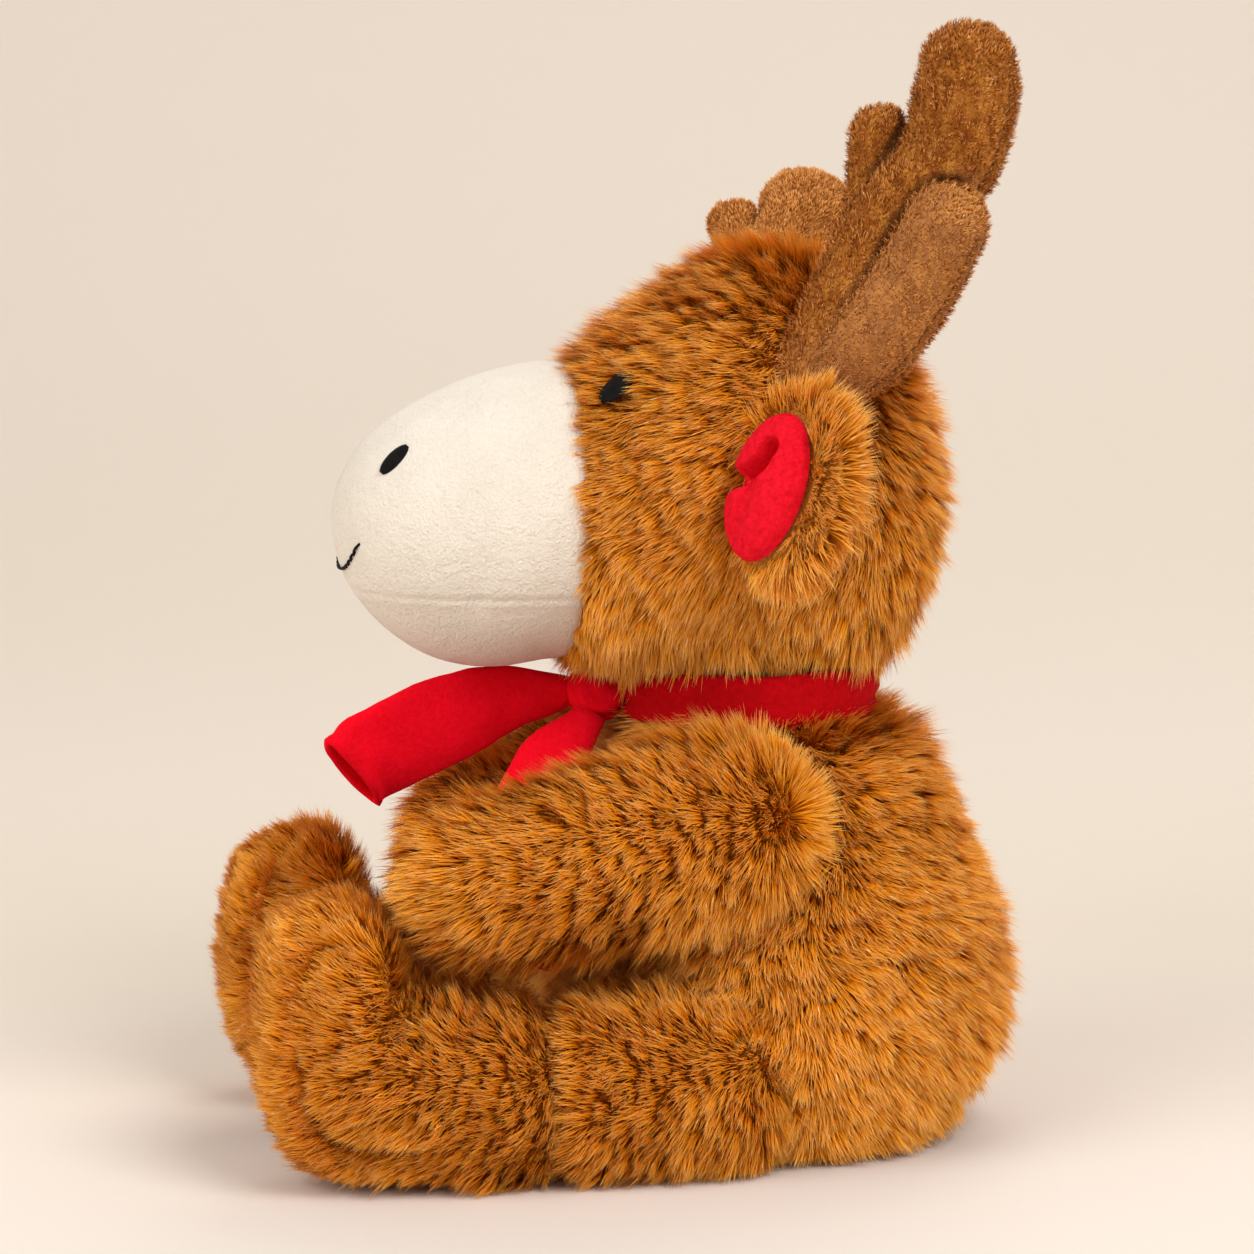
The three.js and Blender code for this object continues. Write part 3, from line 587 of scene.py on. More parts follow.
def hollowness(obj, rounds):
    """How much each place of a skin lies in a crease, from 0 to 1."""
    p, n = places_of(obj), normals_of(obj)
    pairs = np.empty(len(obj.data.edges) * 2, np.int64)
    obj.data.edges.foreach_get("vertices", pairs)
    a, b = pairs.reshape(-1, 2).T
    count = np.bincount(a, minlength=len(p)) + np.bincount(b, minlength=len(p))

    def spread(values):
        total = np.bincount(a, values[b], len(p)) + np.bincount(b, values[a], len(p))
        return total / np.maximum(count, 1)

    middle = np.stack([spread(p[:, k]) for k in range(3)], 1)
    value = np.clip(((middle - p) * n).sum(1) / (0.05 * MM), 0, 1)
    for _ in range(rounds):
        value = 0.5 * value + 0.5 * spread(value)
    return np.clip(2.2 * value, 0, 1)


def join(target, other):
    offset = len(target.data.vertices)
    places = np.vstack([places_of(target), places_of(other)])
    faces = [tuple(f.vertices) for f in target.data.polygons]
    faces += [tuple(i + offset for i in f.vertices) for f in other.data.polygons]
    mesh = bpy.data.meshes.new(target.name)
    mesh.from_pydata([tuple(p) for p in places], [], faces)
    mesh.polygons.foreach_set("use_smooth", [True] * len(mesh.polygons))
    target.data = mesh
    bpy.data.objects.remove(other)


def joined(parts, name):
    for part in parts[1:]:
        join(parts[0], part)
    parts[0].name = parts[0].data.name = name
    return parts[0]


def applied(obj):
    """The evaluated mesh as a plain mesh, with every modifier gone."""
    graph = bpy.context.evaluated_depsgraph_get()
    mesh = bpy.data.meshes.new_from_object(obj.evaluated_get(graph))
    obj.modifiers.clear()
    obj.data = mesh
    mesh.polygons.foreach_set("use_smooth", [True] * len(mesh.polygons))
    return obj


def remeshed(obj, voxel, rounds):
    remesh = obj.modifiers.new("remesh", "REMESH")
    remesh.mode = "VOXEL"
    remesh.voxel_size = voxel
    smooth = obj.modifiers.new("smooth", "SMOOTH")
    smooth.factor = 0.5
    smooth.iterations = rounds
    return applied(obj)


# Materials


def colour(value):
    """A linear colour from the sRGB code that it should look like, or from linear parts or one grey."""
    if not isinstance(value, str):
        return (*value, 1.0) if isinstance(value, tuple) else (value, value, value, 1.0)
    parts = [int(value[i : i + 2], 16) / 255 for i in (0, 2, 4)]
    return (*[c / 12.92 if c < 0.04045 else ((c + 0.055) / 1.055) ** 2.4 for c in parts], 1.0)


class Paint:
    """A material with a Principled shader, and short calls for its nodes."""

    def __init__(self, name, roughness, specular=0.3, sheen=0.0, sheen_tint=None, sheen_roughness=0.5):
        self.material = bpy.data.materials.new(name)
        self.material.use_nodes = True
        self.tree = self.material.node_tree
        self.shader = self.tree.nodes["Principled BSDF"]
        self.shader.inputs["Roughness"].default_value = roughness
        self.shader.inputs["Specular IOR Level"].default_value = specular
        self.shader.inputs["Sheen Weight"].default_value = sheen
        self.shader.inputs["Sheen Roughness"].default_value = sheen_roughness
        if sheen_tint:
            self.shader.inputs["Sheen Tint"].default_value = colour(sheen_tint)

    def node(self, kind, **settings):
        made = self.tree.nodes.new(kind)
        for key, value in settings.items():
            if key in made.inputs:
                made.inputs[key].default_value = value
            else:
                setattr(made, key, value)
        return made

    def link(self, source, target):
        self.tree.links.new(source, target)

    def object_places(self):
        return self.node("ShaderNodeTexCoord").outputs["Object"]

    def noise(self, scale, detail=3.0, roughness=0.5, stretch=None):
        vector = self.object_places()
        if stretch:
            mapping = self.node("ShaderNodeMapping")
            mapping.inputs["Scale"].default_value = stretch
            self.link(vector, mapping.inputs["Vector"])
            vector = mapping.outputs[0]
        made = self.node("ShaderNodeTexNoise", Scale=scale, Detail=detail, Roughness=roughness)
        self.link(vector, made.inputs["Vector"])
        return made.outputs["Fac"]

    def ramp(self, factor, stops):
        made = self.node("ShaderNodeValToRGB")
        elements = made.color_ramp.elements
        while len(elements) < len(stops):
            elements.new(0.5)
        for element, (place, value) in zip(elements, stops):
            element.position = place
            element.color = colour(value)
        self.link(factor, made.inputs["Fac"])
        return made.outputs["Color"]

    def mix(self, first, second, factor=None, share=0.5, blend="MIX"):
        made = self.node("ShaderNodeMix", data_type="RGBA", blend_type=blend)
        made.inputs[0].default_value = share
        if factor is not None:
            self.link(factor, made.inputs[0])
        for value, socket in ((first, made.inputs[6]), (second, made.inputs[7])):
            if isinstance(value, (str, tuple)):
                socket.default_value = colour(value)
            else:
                self.link(value, socket)
        return made.outputs[2]

    def base(self, source):
        self.link(source, self.shader.inputs["Base Color"])

    def bump(self, height, distance):
        made = self.node("ShaderNodeBump", Distance=distance, Strength=1.0)
        self.link(height, made.inputs["Height"])
        self.link(made.outputs[0], self.shader.inputs["Normal"])


def strand_paint(name, tones, glint_colour, shades):
    """Fur: dark roots and pale tips along each strand, the dark roots partly the fibres' own colour and partly painted
    shade deep in the pile, a tint of its own across the map, and a painted glint on a few.
    """
    paint = Paint(name, 0.45, 0.05, 0.0)
    strand = paint.node("ShaderNodeUVMap", uv_map="strand")
    parts = paint.node("ShaderNodeSeparateXYZ")
    paint.link(strand.outputs[0], parts.inputs[0])
    # Root to tip: the darkness at the roots is partly painted shade of the deep pile
    along = paint.ramp(parts.outputs["Y"], list(zip((0.0, 0.25, 0.5, 0.78, 1.0), tones)))
    tint = paint.ramp(parts.outputs["X"], [(0.06, shades[0]), (0.45, shades[1]), (0.74, 1)])
    # Painted highlight: a short stroke near the tip of the glinting strands takes the glint colour
    near_tip = paint.ramp(parts.outputs["Y"], [(0.55, 0), (0.62, 1), (0.68, 1), (0.74, 0)])
    glinting = paint.ramp(parts.outputs["X"], [(0.9, 0), (0.93, 1)])
    painted_glint = paint.mix(near_tip, glinting, share=1.0, blend="MULTIPLY")
    body = paint.mix(along, tint, share=1.0, blend="MULTIPLY")
    paint.base(paint.mix(body, glint_colour, factor=painted_glint))
    return paint.material


def under_fur(name, dark, light):
    paint = Paint(name, 0.95, 0.1)
    paint.base(paint.mix(dark, light, factor=paint.noise(420.0)))
    paint.bump(paint.noise(900.0), 0.6 * MM)
    return paint.material


def velour_paint(name):
    paint = Paint(name, 0.85, 0.15, 0.35, "fffaf2", 0.4)
    blotch = paint.ramp(paint.noise(70.0, 4.0), [(0.3, "f0e5d5"), (0.7, "f8eddd")])
    fine = paint.ramp(paint.noise(1500.0, 2.0), [(0.3, 0.93), (0.7, 1)])
    paint.base(paint.mix(blotch, fine, share=1.0, blend="MULTIPLY"))
    wool = paint.mix(paint.noise(380.0, 3.0, 0.6), paint.noise(1300.0, 3.0, 0.6), share=0.45)
    paint.bump(wool, 1.4 * MM)
    return paint.material


def plush_paint(name):
    paint = Paint(name, 0.9, 0.15, 0.5, "c98f5a", 0.5)
    nap = paint.noise(330.0, 4.0, 0.65, stretch=(1.0, 1.0, 0.45))
    fold = paint.node("ShaderNodeAttribute", attribute_name="fold").outputs["Fac"]
    base = paint.ramp(nap, [(0.32, "803e10"), (0.5, "a8621e"), (0.68, "cc8838")])
    patch = paint.ramp(paint.noise(40.0, 2.0), [(0.3, (0.86, 0.84, 0.8)), (0.7, 1)])
    plain = paint.mix(base, patch, share=1.0, blend="MULTIPLY")
    # Painted light: the tone mark paints the outer tine paler
    tone = paint.node("ShaderNodeAttribute", attribute_name="tone").outputs["Fac"]
    with_painted_light = paint.mix(plain, "d8a068", factor=tone)
    # Painted shade: the creases and sewn grooves, marked fold, are painted dark brown
    paint.base(paint.mix(with_painted_light, "54300f", factor=fold))
    paint.bump(paint.noise(480.0, 4.0, 0.7, stretch=(1.0, 1.0, 0.5)), 0.5 * MM)
    return paint.material


def fleece_paint(name, deep, bright):
    paint = Paint(name, 0.92, 0.1, 0.3, "ff2038", 0.4)
    paint.base(paint.ramp(paint.noise(620.0, 5.0, 0.7), [(0.32, deep), (0.68, bright)]))
    paint.bump(paint.noise(750.0, 4.0, 0.75), 0.4 * MM)
    return paint.material


def thread_paint(name):
    paint = Paint(name, 0.6, 0.12)
    paint.base(paint.ramp(paint.noise(700.0), [(0.3, "040405"), (0.75, "121113")]))
    return paint.material


def wad_paint(name):
    paint = Paint(name, 0.95, 0.1)
    paint.base(paint.ramp(paint.noise(160.0, 6.0, 0.7), [(0.3, "d9d8d2"), (0.7, "fafaf7")]))
    paint.bump(paint.noise(300.0, 6.0, 0.7), 1.2 * MM)
    return paint.material


def pouch_paint(name):
    paint = Paint(name, 0.85, 0.2)
    wave = paint.node("ShaderNodeTexWave", Scale=500.0, Distortion=0.4)
    paint.link(paint.object_places(), wave.inputs["Vector"])
    paint.base(paint.ramp(wave.outputs["Fac"], [(0.2, "b8b2a2"), (0.8, "e2ddd0")]))
    paint.bump(wave.outputs["Fac"], 0.2 * MM)
    return paint.material


def dressed(obj, material, body, slot, *nodes):
    obj.data.materials.clear()
    obj.data.materials.append(material)
    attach(obj, body)
    if nodes:
        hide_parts(*nodes)
    return obj


# Fur


def strand_mesh():
    """One strand: it leaves the root at a slope and bends over, with its flat side outwards."""
    rows = [(0.0, 0.0, 0.45), (0.3, 0.42, 0.5), (0.8, 0.7, 0.0)]
    places = []
    for y, z, half in rows[:-1]:
        places += [(-half, y, z), (half, y, z)]
    places.append((0, rows[-1][0], rows[-1][1]))
    shares = (0.0, 0.5)
    faces = [(0, 1, 3, 2), (2, 3, 4)]
    made = mesh_object("one_strand", places, faces)
    layer = made.data.uv_layers.new(name="strand")
    for loop in made.data.loops:
        i = loop.vertex_index
        layer.data[loop.index].uv = ((0.5, 1.0) if i == 4 else (i % 2, shares[i // 2]))
    return made


def socket_value(modifier, tree, name, value):
    for item in tree.interface.items_tree:
        if item.item_type == "SOCKET" and item.in_out == "INPUT" and item.name == name:
            modifier[item.identifier] = value
            return
    raise KeyError(name)


def fur_tree():
    """Scatters strands over a skin, each laid along the skin's comb directions, in loose locks."""
    tree = bpy.data.node_groups.new("fur", "GeometryNodeTree")
    face = tree.interface
    face.new_socket("Geometry", in_out="INPUT", socket_type="NodeSocketGeometry")
    for name, value in FUR_SIZES.items():
        face.new_socket(name, in_out="INPUT", socket_type="NodeSocketFloat").default_value = value
    face.new_socket("Seed", in_out="INPUT", socket_type="NodeSocketInt")
    face.new_socket("Strand", in_out="INPUT", socket_type="NodeSocketObject")
    face.new_socket("Material", in_out="INPUT", socket_type="NodeSocketMaterial")
    face.new_socket("Geometry", in_out="OUTPUT", socket_type="NodeSocketGeometry")
    nodes, links = tree.nodes, tree.links

    def add(kind, values=None, **settings):
        made = nodes.new(kind)
        for key, value in settings.items():
            setattr(made, key, value)
        for key, value in (values or {}).items():
            if isinstance(value, bpy.types.NodeSocket):
                links.new(value, made.inputs[key])
            else:
                made.inputs[key].default_value = value
        return made

    def math_of(operation, a, b, c=0.0):
        return add("ShaderNodeMath", {0: a, 1: b, 2: c}, operation=operation).outputs[0]

    def named(name, kind="FLOAT"):
        return add("GeometryNodeInputNamedAttribute", {"Name": name}, data_type=kind).outputs["Attribute"]

    def stored(points, name, value, kind="FLOAT"):
        values = {"Geometry": points, "Name": name, "Value": value}
        return add("GeometryNodeStoreNamedAttribute", values, data_type=kind, domain="POINT").outputs[0]

    def by_chance(seed, low, high):
        first, kind = (0, "FLOAT_VECTOR") if isinstance(low, tuple) else (2, "FLOAT")
        values = {first: low, first + 1: high, "Seed": seed}
        return add("FunctionNodeRandomValue", values, data_type=kind).outputs[first // 2]

    def noise_at(scale, detail):
        return add("ShaderNodeTexNoise", {"Vector": place, "Scale": scale, "Detail": detail}).outputs

    def vector_of(operation, a, b=None, scale=None):
        values = {0: a}
        if b is not None:
            values[1] = b
        if scale is not None:
            values["Scale"] = scale
        return add("ShaderNodeVectorMath", values, operation=operation).outputs[0]

    given = add("NodeGroupInput").outputs
    comb, pile, tuft_size = named("comb", "FLOAT_VECTOR"), named("pile"), given["Tuft size"]
    density = math_of("MULTIPLY", given["Strands per square metre"], named("cover"))
    scatter = add(
        "GeometryNodeDistributePointsOnFaces",
        {"Mesh": given["Geometry"], "Density": density, "Seed": given["Seed"]},
        distribute_method="RANDOM",
    ).outputs
    place = add("GeometryNodeInputPosition").outputs[0]
    # Locks turn neighbours together, and the strands of a tuft lean to its middle
    coarse = noise_at(math_of("DIVIDE", 1.0, given["Lock size"]), 1.0)["Color"]
    turned = vector_of("SUBTRACT", coarse, (0.5, 0.5, 0.5))
    lock = vector_of("SCALE", turned, scale=math_of("MULTIPLY", given["Lock spread"], 2.0))
    # Tufts are the cells of a net that a rougher noise pulls out of shape
    rough = noise_at(math_of("DIVIDE", 0.45, tuft_size), 2.0)["Color"]
    shift = vector_of("SUBTRACT", rough, (0.5, 0.5, 0.5))
    shifted = vector_of("ADD", place, vector_of("SCALE", shift, scale=math_of("MULTIPLY", tuft_size, 2.6)))
    tuft = add("ShaderNodeTexVoronoi", {"Vector": shifted, "Scale": math_of("DIVIDE", 1.0, tuft_size)}).outputs
    inwards = vector_of("SUBTRACT", tuft["Position"], shifted)
    pull = math_of("DIVIDE", given["Tuft pull"], given["Length"])
    drawn = vector_of("SCALE", inwards, scale=pull)
    dot = add("ShaderNodeVectorMath", {0: inwards, 1: comb}, operation="DOT_PRODUCT").outputs["Value"]
    behind = math_of("MULTIPLY", dot, pull)
    strayed = vector_of("SCALE", by_chance(11, (-1, -1, -1), (1, 1, 1)), scale=given["Stray"])
    way = vector_of("ADD", vector_of("ADD", comb, lock), vector_of("ADD", drawn, strayed))
    own = add("ShaderNodeSeparateXYZ", {0: tuft["Color"]}).outputs
    rise = math_of("SUBTRACT", math_of("MULTIPLY_ADD", own[0], 0.4, 0.09), behind)
    lush = math_of("SUBTRACT", math_of("MULTIPLY", own[2], 0.5), math_of("MULTIPLY", tuft["Distance"], 0.28))
    # A strand's tint comes from its patch, its tuft, chance and the skin's tone mark, which is painted light on the
    # antlers, and a few chosen by chance get a painted glint
    patch = noise_at(55.0, 2.0)["Fac"]
    shades = math_of("ADD", math_of("MULTIPLY", own[1], 0.55), math_of("MULTIPLY", by_chance(5, 0.0, 1.0), 0.4))
    apart = math_of("SUBTRACT", math_of("ADD", math_of("MULTIPLY", patch, 0.7), shades), 0.82)
    even = math_of("ADD", math_of("MULTIPLY", apart, given["Tint spread"]), math_of("ADD", named("tone"), 0.56))
    glinting = math_of("GREATER_THAN", by_chance(47, 0.0, 1.0), GLINT_ABOVE)
    tint = math_of("MAXIMUM", math_of("MINIMUM", even, TINT_TOP), glinting)
    # Store what depends on the place before the points become instances
    points = stored(scatter["Points"], "way", way, "FLOAT_VECTOR")
    points = stored(points, "out", scatter["Normal"], "FLOAT_VECTOR")
    for name, value in (("rise", rise), ("lush", lush), ("tint", tint)):
        points = stored(points, name, value)

    stood = add("FunctionNodeAlignRotationToVector", {"Vector": named("out", "FLOAT_VECTOR")}, axis="Z").outputs[0]
    values = {"Rotation": stood, "Vector": named("way", "FLOAT_VECTOR")}
    laid = add("FunctionNodeAlignRotationToVector", values, axis="Y", pivot_axis="Z").outputs[0]
    lean = by_chance(23, (-0.14, -0.2, -0.12), (0.1, 0.2, 0.12))
    lifted = add("ShaderNodeCombineXYZ", {0: named("rise")}).outputs[0]
    turn = add("FunctionNodeEulerToRotation", {0: vector_of("ADD", lean, lifted)}).outputs[0]
    leant = add("FunctionNodeRotateRotation", {"Rotation": laid, "Rotate By": turn}, rotation_space="LOCAL").outputs[0]
    share = math_of("MULTIPLY", by_chance(31, 0.72, 1.12), math_of("ADD", named("lush"), 0.9))
    long = math_of("MULTIPLY", math_of("MULTIPLY", given["Length"], pile), share)
    size = add("ShaderNodeCombineXYZ", {0: given["Width"], 1: long, 2: long}).outputs[0]
    strand = add("GeometryNodeObjectInfo", {"Object": given["Strand"]}).outputs["Geometry"]
    values = {"Points": points, "Instance": strand, "Rotation": leant, "Scale": size}
    strands = add("GeometryNodeInstanceOnPoints", values).outputs[0]
    whole = add("GeometryNodeRealizeInstances", {"Geometry": strands}).outputs[0]
    painted = add("GeometryNodeSetMaterial", {"Geometry": whole, "Material": given["Material"]}).outputs[0]
    links.new(painted, add("NodeGroupOutput").inputs[0])
    return tree


STRAND_MARKS = ("tone", "lush", "tint", "out", "way", "rise", "comb", "pile", "cover", "fold")
TINT_SPAN = 0.9
TINT_WIDTH = 0.012


def attribute_of(obj, name):
    values = np.empty(len(obj.data.vertices), np.float32)
    obj.data.attributes[name].data.foreach_get("value", values)
    return values


def set_attribute(mesh, name, kind, values):
    attribute = mesh.attributes.new(name, kind, "POINT")
    key = "vector" if kind == "FLOAT_VECTOR" else "value"
    attribute.data.foreach_set(key, np.ascontiguousarray(values, np.float32).ravel())


def strand_maps(mesh):
    """The strand's own map: its tint across and its length along, also copied to a map called OFBake. The
    export keeps a map of this name as it is.
    """
    count = len(mesh.loops)
    corners = np.empty(count, np.int32)
    mesh.loops.foreach_get("vertex_index", corners)
    tint = np.empty(len(mesh.vertices), np.float32)
    mesh.attributes["tint"].data.foreach_get("value", tint)
    spots = np.empty(count * 2, np.float32)
    mesh.uv_layers["strand"].data.foreach_get("uv", spots)
    spots = spots.reshape(-1, 2)
    middle = 0.05 + TINT_SPAN * np.clip(tint, 0, 1)[corners]
    spots[:, 0] = middle + (spots[:, 0] - 0.5) * TINT_WIDTH
    spots[:, 1] = 0.01 + 0.98 * spots[:, 1]
    for name in [a.name for a in mesh.attributes if a.name in STRAND_MARKS]:
        mesh.attributes.remove(mesh.attributes[name])
    mesh.uv_layers["strand"].data.foreach_set("uv", np.ascontiguousarray(spots).ravel())
    kept = mesh.uv_layers.new(name="OFBake")
    kept.data.foreach_set("uv", np.ascontiguousarray(spots).ravel())
    mesh.uv_layers["strand"].active = True
    mesh.uv_layers["strand"].active_render = True


EVERYWHERE = [("all", lambda p: np.ones(len(p), bool))]


def furred(skin, name, body, comb, pile, zones=EVERYWHERE, material=None, slot="fur", density=DENSITY,
           width=STRAND_WIDTH, **sizes):
    """Strands over a skin, one piece for each zone. comb and pile are worked out from the skin's places and normals."""
    p, n = places_of(skin), normals_of(skin)
    led = comb(p, n)
    led = unit(led - (led * n).sum(1)[:, None] * n)
    grown_to = pile(p, n)
    for number, (zone, inside) in enumerate(zones):
        bed = bpy.data.objects.new(f"{name}_{zone}", skin.data.copy())
        bpy.context.scene.collection.objects.link(bed)
        bed.data.materials.clear()
        set_attribute(bed.data, "comb", "FLOAT_VECTOR", led)
        set_attribute(bed.data, "pile", "FLOAT", grown_to)
        set_attribute(bed.data, "cover", "FLOAT", inside(p) * (grown_to > 0.02))
        scattered = bed.modifiers.new("fur", "NODES")
        scattered.node_group = FUR_TREE
        values = {**FUR_SIZES, **sizes, "Strands per square metre": density, "Width": width}
        values |= {"Seed": 7 + number, "Strand": ONE_STRAND, "Material": material or FUR}
        for key, value in values.items():
            socket_value(scattered, FUR_TREE, key, value)
        applied(bed)
        q = places_of(bed)
        q[:, 2] = np.maximum(q[:, 2], FLOOR_GAP)
        put(bed, q)
        strand_maps(bed.data)
        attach(bed, body)


# tones from root to tip, their dark roots partly painted shade, the colour of the painted glint on a few, and the two
# darker shades
FUR = strand_paint(
    "fur", ("8a4204", "c66e06", "f0940e", "ffb23c", "ffd48e"), "ffe4ac", ((0.5, 0.37, 0.2), (0.96, 0.9, 0.78))
)
EAR_FUR = strand_paint(
    "ear_fur", ("a8620e", "d08018", "f09c28", "fcb650", "ffd08c"), "ffdc9c", ((0.6, 0.46, 0.26), (0.97, 0.92, 0.82))
)
ANTLER_NAP = strand_paint(
    "antler_nap", ("6e3608", "a45e18", "d48634", "f6b06a", "ffd4a0"), "ffe8c8", ((0.46, 0.34, 0.22), (0.74, 0.64, 0.52))
)
UNDER_FUR = under_fur("under_fur", "b0600a", "cc7c16")
EAR_CLOTH = under_fur("ear_cloth", "c07820", "d89440")
VELOUR = velour_paint("cream_velour")
PLUSH = plush_paint("antler_plush")
FLEECE = fleece_paint("red_fleece", "f40014", "ff0c2a")
# A darker copy of the red fleece for the band: painted shade where the head shades it
FLEECE_IN_PAINTED_SHADE = fleece_paint("red_fleece_painted_shade", "ac0006", "ca020e")
LINING = fleece_paint("ear_lining", "d2061a", "f81830")
STITCH = thread_paint("black_thread")
WAD = wad_paint("filling")
POUCH = pouch_paint("pouch_cloth")
ONE_STRAND = strand_mesh()
FUR_TREE = fur_tree()


def flow(*vector):
    return np.array(vector, float)


def outside_of(p, middle, near, far):
    """0 inside a ball, 1 outside it."""
    return smoothed(near, far, np.linalg.norm(p - middle, axis=1))


def out_of_balls(p, balls, near, far):
    """0 inside any of the balls, on both sides, and 1 outside them all."""
    both = [(mirrored(ball, way), radius) for _, way in SIDES for ball, radius in balls]
    return np.minimum.reduce([outside_of(p, ball, near * radius, far * radius) for ball, radius in both])


def quarters(label, split):
    """Four zones of a body: front and back, each in a left and a right half, above the floor."""
    zones = []
    for end, ahead in (("front", True), ("back", False)):
        for side, way in SIDES:
            def inside(p, ahead=ahead, way=way):
                return ((p[:, 1] < split) == ahead) & ((p[:, 0] > 0) == (way > 0)) & (p[:, 2] > FUR_FLOOR)
            zones.append((label.format(end=end, side=side), inside))
    return zones


def padded_skin(form, body, fill, *nodes):
    """The padding under a skin of pile, and the wad inside it."""
    skin = dressed(form(f"{body}_padding", ROOT_DEPTH), UNDER_FUR, body, "fur", *nodes)
    dressed(form(f"{body}_filling", WAD_DEPTH), WAD, body, "stuffing", f"{body}_stuffing")
    return skin


def build_torso():
    skin = padded_skin(torso_form, "torso", 0.85, "torso_skin")

    def comb(p, n):
        front = smoothed(-0.02, -0.05, p[:, 1])[:, None]
        low = smoothed(0.02, 0.0, p[:, 2])[:, None]
        led = (1 - front) * flow(0, 0.55, -1) + front * flow(0, -0.1, -1)
        near = 1 - out_of_balls(p, ((SHOULDER, SHOULDER_RADIUS), (HIP, HIP_RADIUS)), 1.0, 1.4)[:, None]
        led = led * (1 - near) + flow(0, -0.45, -1) * near
        collar = smoothed(0.096, 0.106, p[:, 2])[:, None]
        return led * (1 - collar) + (low * 0.5 + collar) * unit(p * (1, 1, 0)) + flow(0, 0, 0.5) * collar

    def pile(p, n):
        neck = smoothed(TORSO_SIZE[2] + 3 * MM, TORSO_SIZE[2] - 3 * MM, p[:, 2])
        seat = smoothed(-0.95, -0.6, n[:, 2])
        balls = ((SHOULDER, SHOULDER_RADIUS - ROOT_DEPTH), (HIP, HIP_RADIUS - ROOT_DEPTH))
        sunk = out_of_balls(p, balls, 0.8, 0.95)
        back = smoothed(0.0, 0.03, p[:, 1]) * smoothed(0.07, 0.08, p[:, 2]) * smoothed(0.1, 0.09, p[:, 2])
        collar = smoothed(0.094, 0.104, p[:, 2])
        lengths = (0.4 + 0.6 * neck) * (0.15 + 0.85 * seat) * (0.7 + 0.3 * sunk)
        return lengths * (1 - 0.2 * back) * (1 + 0.2 * collar)

    furred(skin, "torso_fur", "torso", comb, pile, quarters("{end}_{side}", -10 * MM))
    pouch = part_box("pellet_pouch")
    low, high = np.array(pouch[0]), np.array(pouch[1])
    rows = through([(0, 0, 0, 0), (0.12, 0.62, 0.62, 0), (0.5, 1, 1, 0), (0.88, 0.62, 0.62, 0), (1, 0, 0, 0)], 4)
    middles = (low + high) / 2 + axis_rows((rows[:, 0] - 0.5) * (high[2] - low[2]), 2)
    across = axis_rows(rows[:, 1] * (high[0] - low[0]) / 2, 0)
    over = axis_rows(rows[:, 2] * (high[1] - low[1]) / 2, 1)
    dressed(lofted("pouch", middles, across, over), POUCH, "torso", "pouch_cloth", "pellet_pouch")


def build_head():
    skin = padded_skin(head_form, "head", 0.85, "head_skin")
    eye = np.array([EYE_PLACE[0], EYE_PLACE[1], 195 * MM]) + (0, 2.5 * MM, 1.5 * MM)

    def comb(p, n):
        back = smoothed(0.0, 0.03, p[:, 1])[:, None]
        low = smoothed(0.165, 0.135, p[:, 2])[:, None]
        led = (1 - back) * flow(0, -1, -0.75) + back * flow(0, 0.3, -1)
        return (1 - low) * led + low * flow(0, -0.15, -1)

    def pile(p, n):
        under = smoothed(-0.9, -0.5, n[:, 2])
        bare = out_of_balls(p, ((eye, MM),), 4.8, 7.5)
        behind = p[:, 1] - SEAM_PLACE
        face = smoothed(-1.5 * MM, 1.5 * MM, behind) * (0.7 + 0.3 * smoothed(1 * MM, 10 * MM, behind))
        sewn = out_of_balls(p, ((ANTLER_ROOT, MM),), 9, 14)
        neck = outside_of(p * (1, 1, 0), np.array([0, NECK_BACK, 0]), 16 * MM, 24 * MM)
        nape = smoothed(0.0, 0.02, p[:, 1]) * smoothed(0.175, 0.155, p[:, 2])
        hanging = 1 + 0.22 * smoothed(-0.3, -0.7, n[:, 2]) - 0.15 * nape
        return face * np.maximum(under, neck) * hanging * (0.3 + 0.7 * bare) * (0.3 + 0.7 * sewn)

    furred(skin, "head_fur", "head", comb, pile, quarters("{side}_{end}", -12 * MM))


def build_muzzle():
    muzzle = muzzle_form("muzzle", 0.2 * MM)
    p, n = places_of(muzzle), normals_of(muzzle)
    front = smoothed(SEAM_PLACE - MUZZLE_SIZE[1], SEAM_PLACE - 0.86 * MUZZLE_SIZE[1], p[:, 1])
    seam = 0.55 * MM * np.exp(-(((p[:, 2] - CHIN_SEAM) / (0.6 * MM)) ** 2)) * front
    chin = 0.5 * MM * smoothed(CHIN_SEAM, CHIN_SEAM - 4 * MM, p[:, 2]) * front
    put(muzzle, p - n * (seam + chin)[:, None])
    crease = np.array([(36, -84, 170), (36.5, -83, 156), (33, -83, 143)]) * MM
    for _, way in SIDES:
        carved(muzzle, mirrored(crease, way), 0.6 * MM, 2.2 * MM)
    dressed(muzzle, VELOUR, "head", "cream_velour", "muzzle_top_panel", "muzzle_chin_panel")


def limb_comb(root, way, drop):
    """The pile runs from behind the limb's root to its end, and hangs a little at the root."""

    def comb(p, n):
        reach = smoothed(-0.01, 0.03, root[1] - p[:, 1])[:, None]
        return flow(0, -1, drop) * reach + flow(-0.75 * way, -0.65, -0.3) * (1 - reach)

    return comb


def build_arms():
    for side, way in SIDES:
        body = f"{side}_arm"
        skin = padded_skin(lambda name, inset: arm_form(name, side, inset), body, 0.8, f"{side}_arm_skin")

        def pile(p, n, side=side, way=way):
            ahead = 0.35 + 0.9 * math.sin(math.radians(ARM_TURN[side]))
            buried = smoothed(0.034, 0.05, way * p[:, 0] + ahead * np.maximum(SHOULDER[1] - p[:, 1], 0))
            return 0.5 + 0.5 * buried

        middle = SHOULDER[2] - 8 * MM
        zones = [("upper", lambda p: p[:, 2] > middle), ("lower", lambda p: p[:, 2] <= middle)]
        furred(skin, f"{side}_arm_fur", body, limb_comb(SHOULDER, way, -0.12), pile, zones)


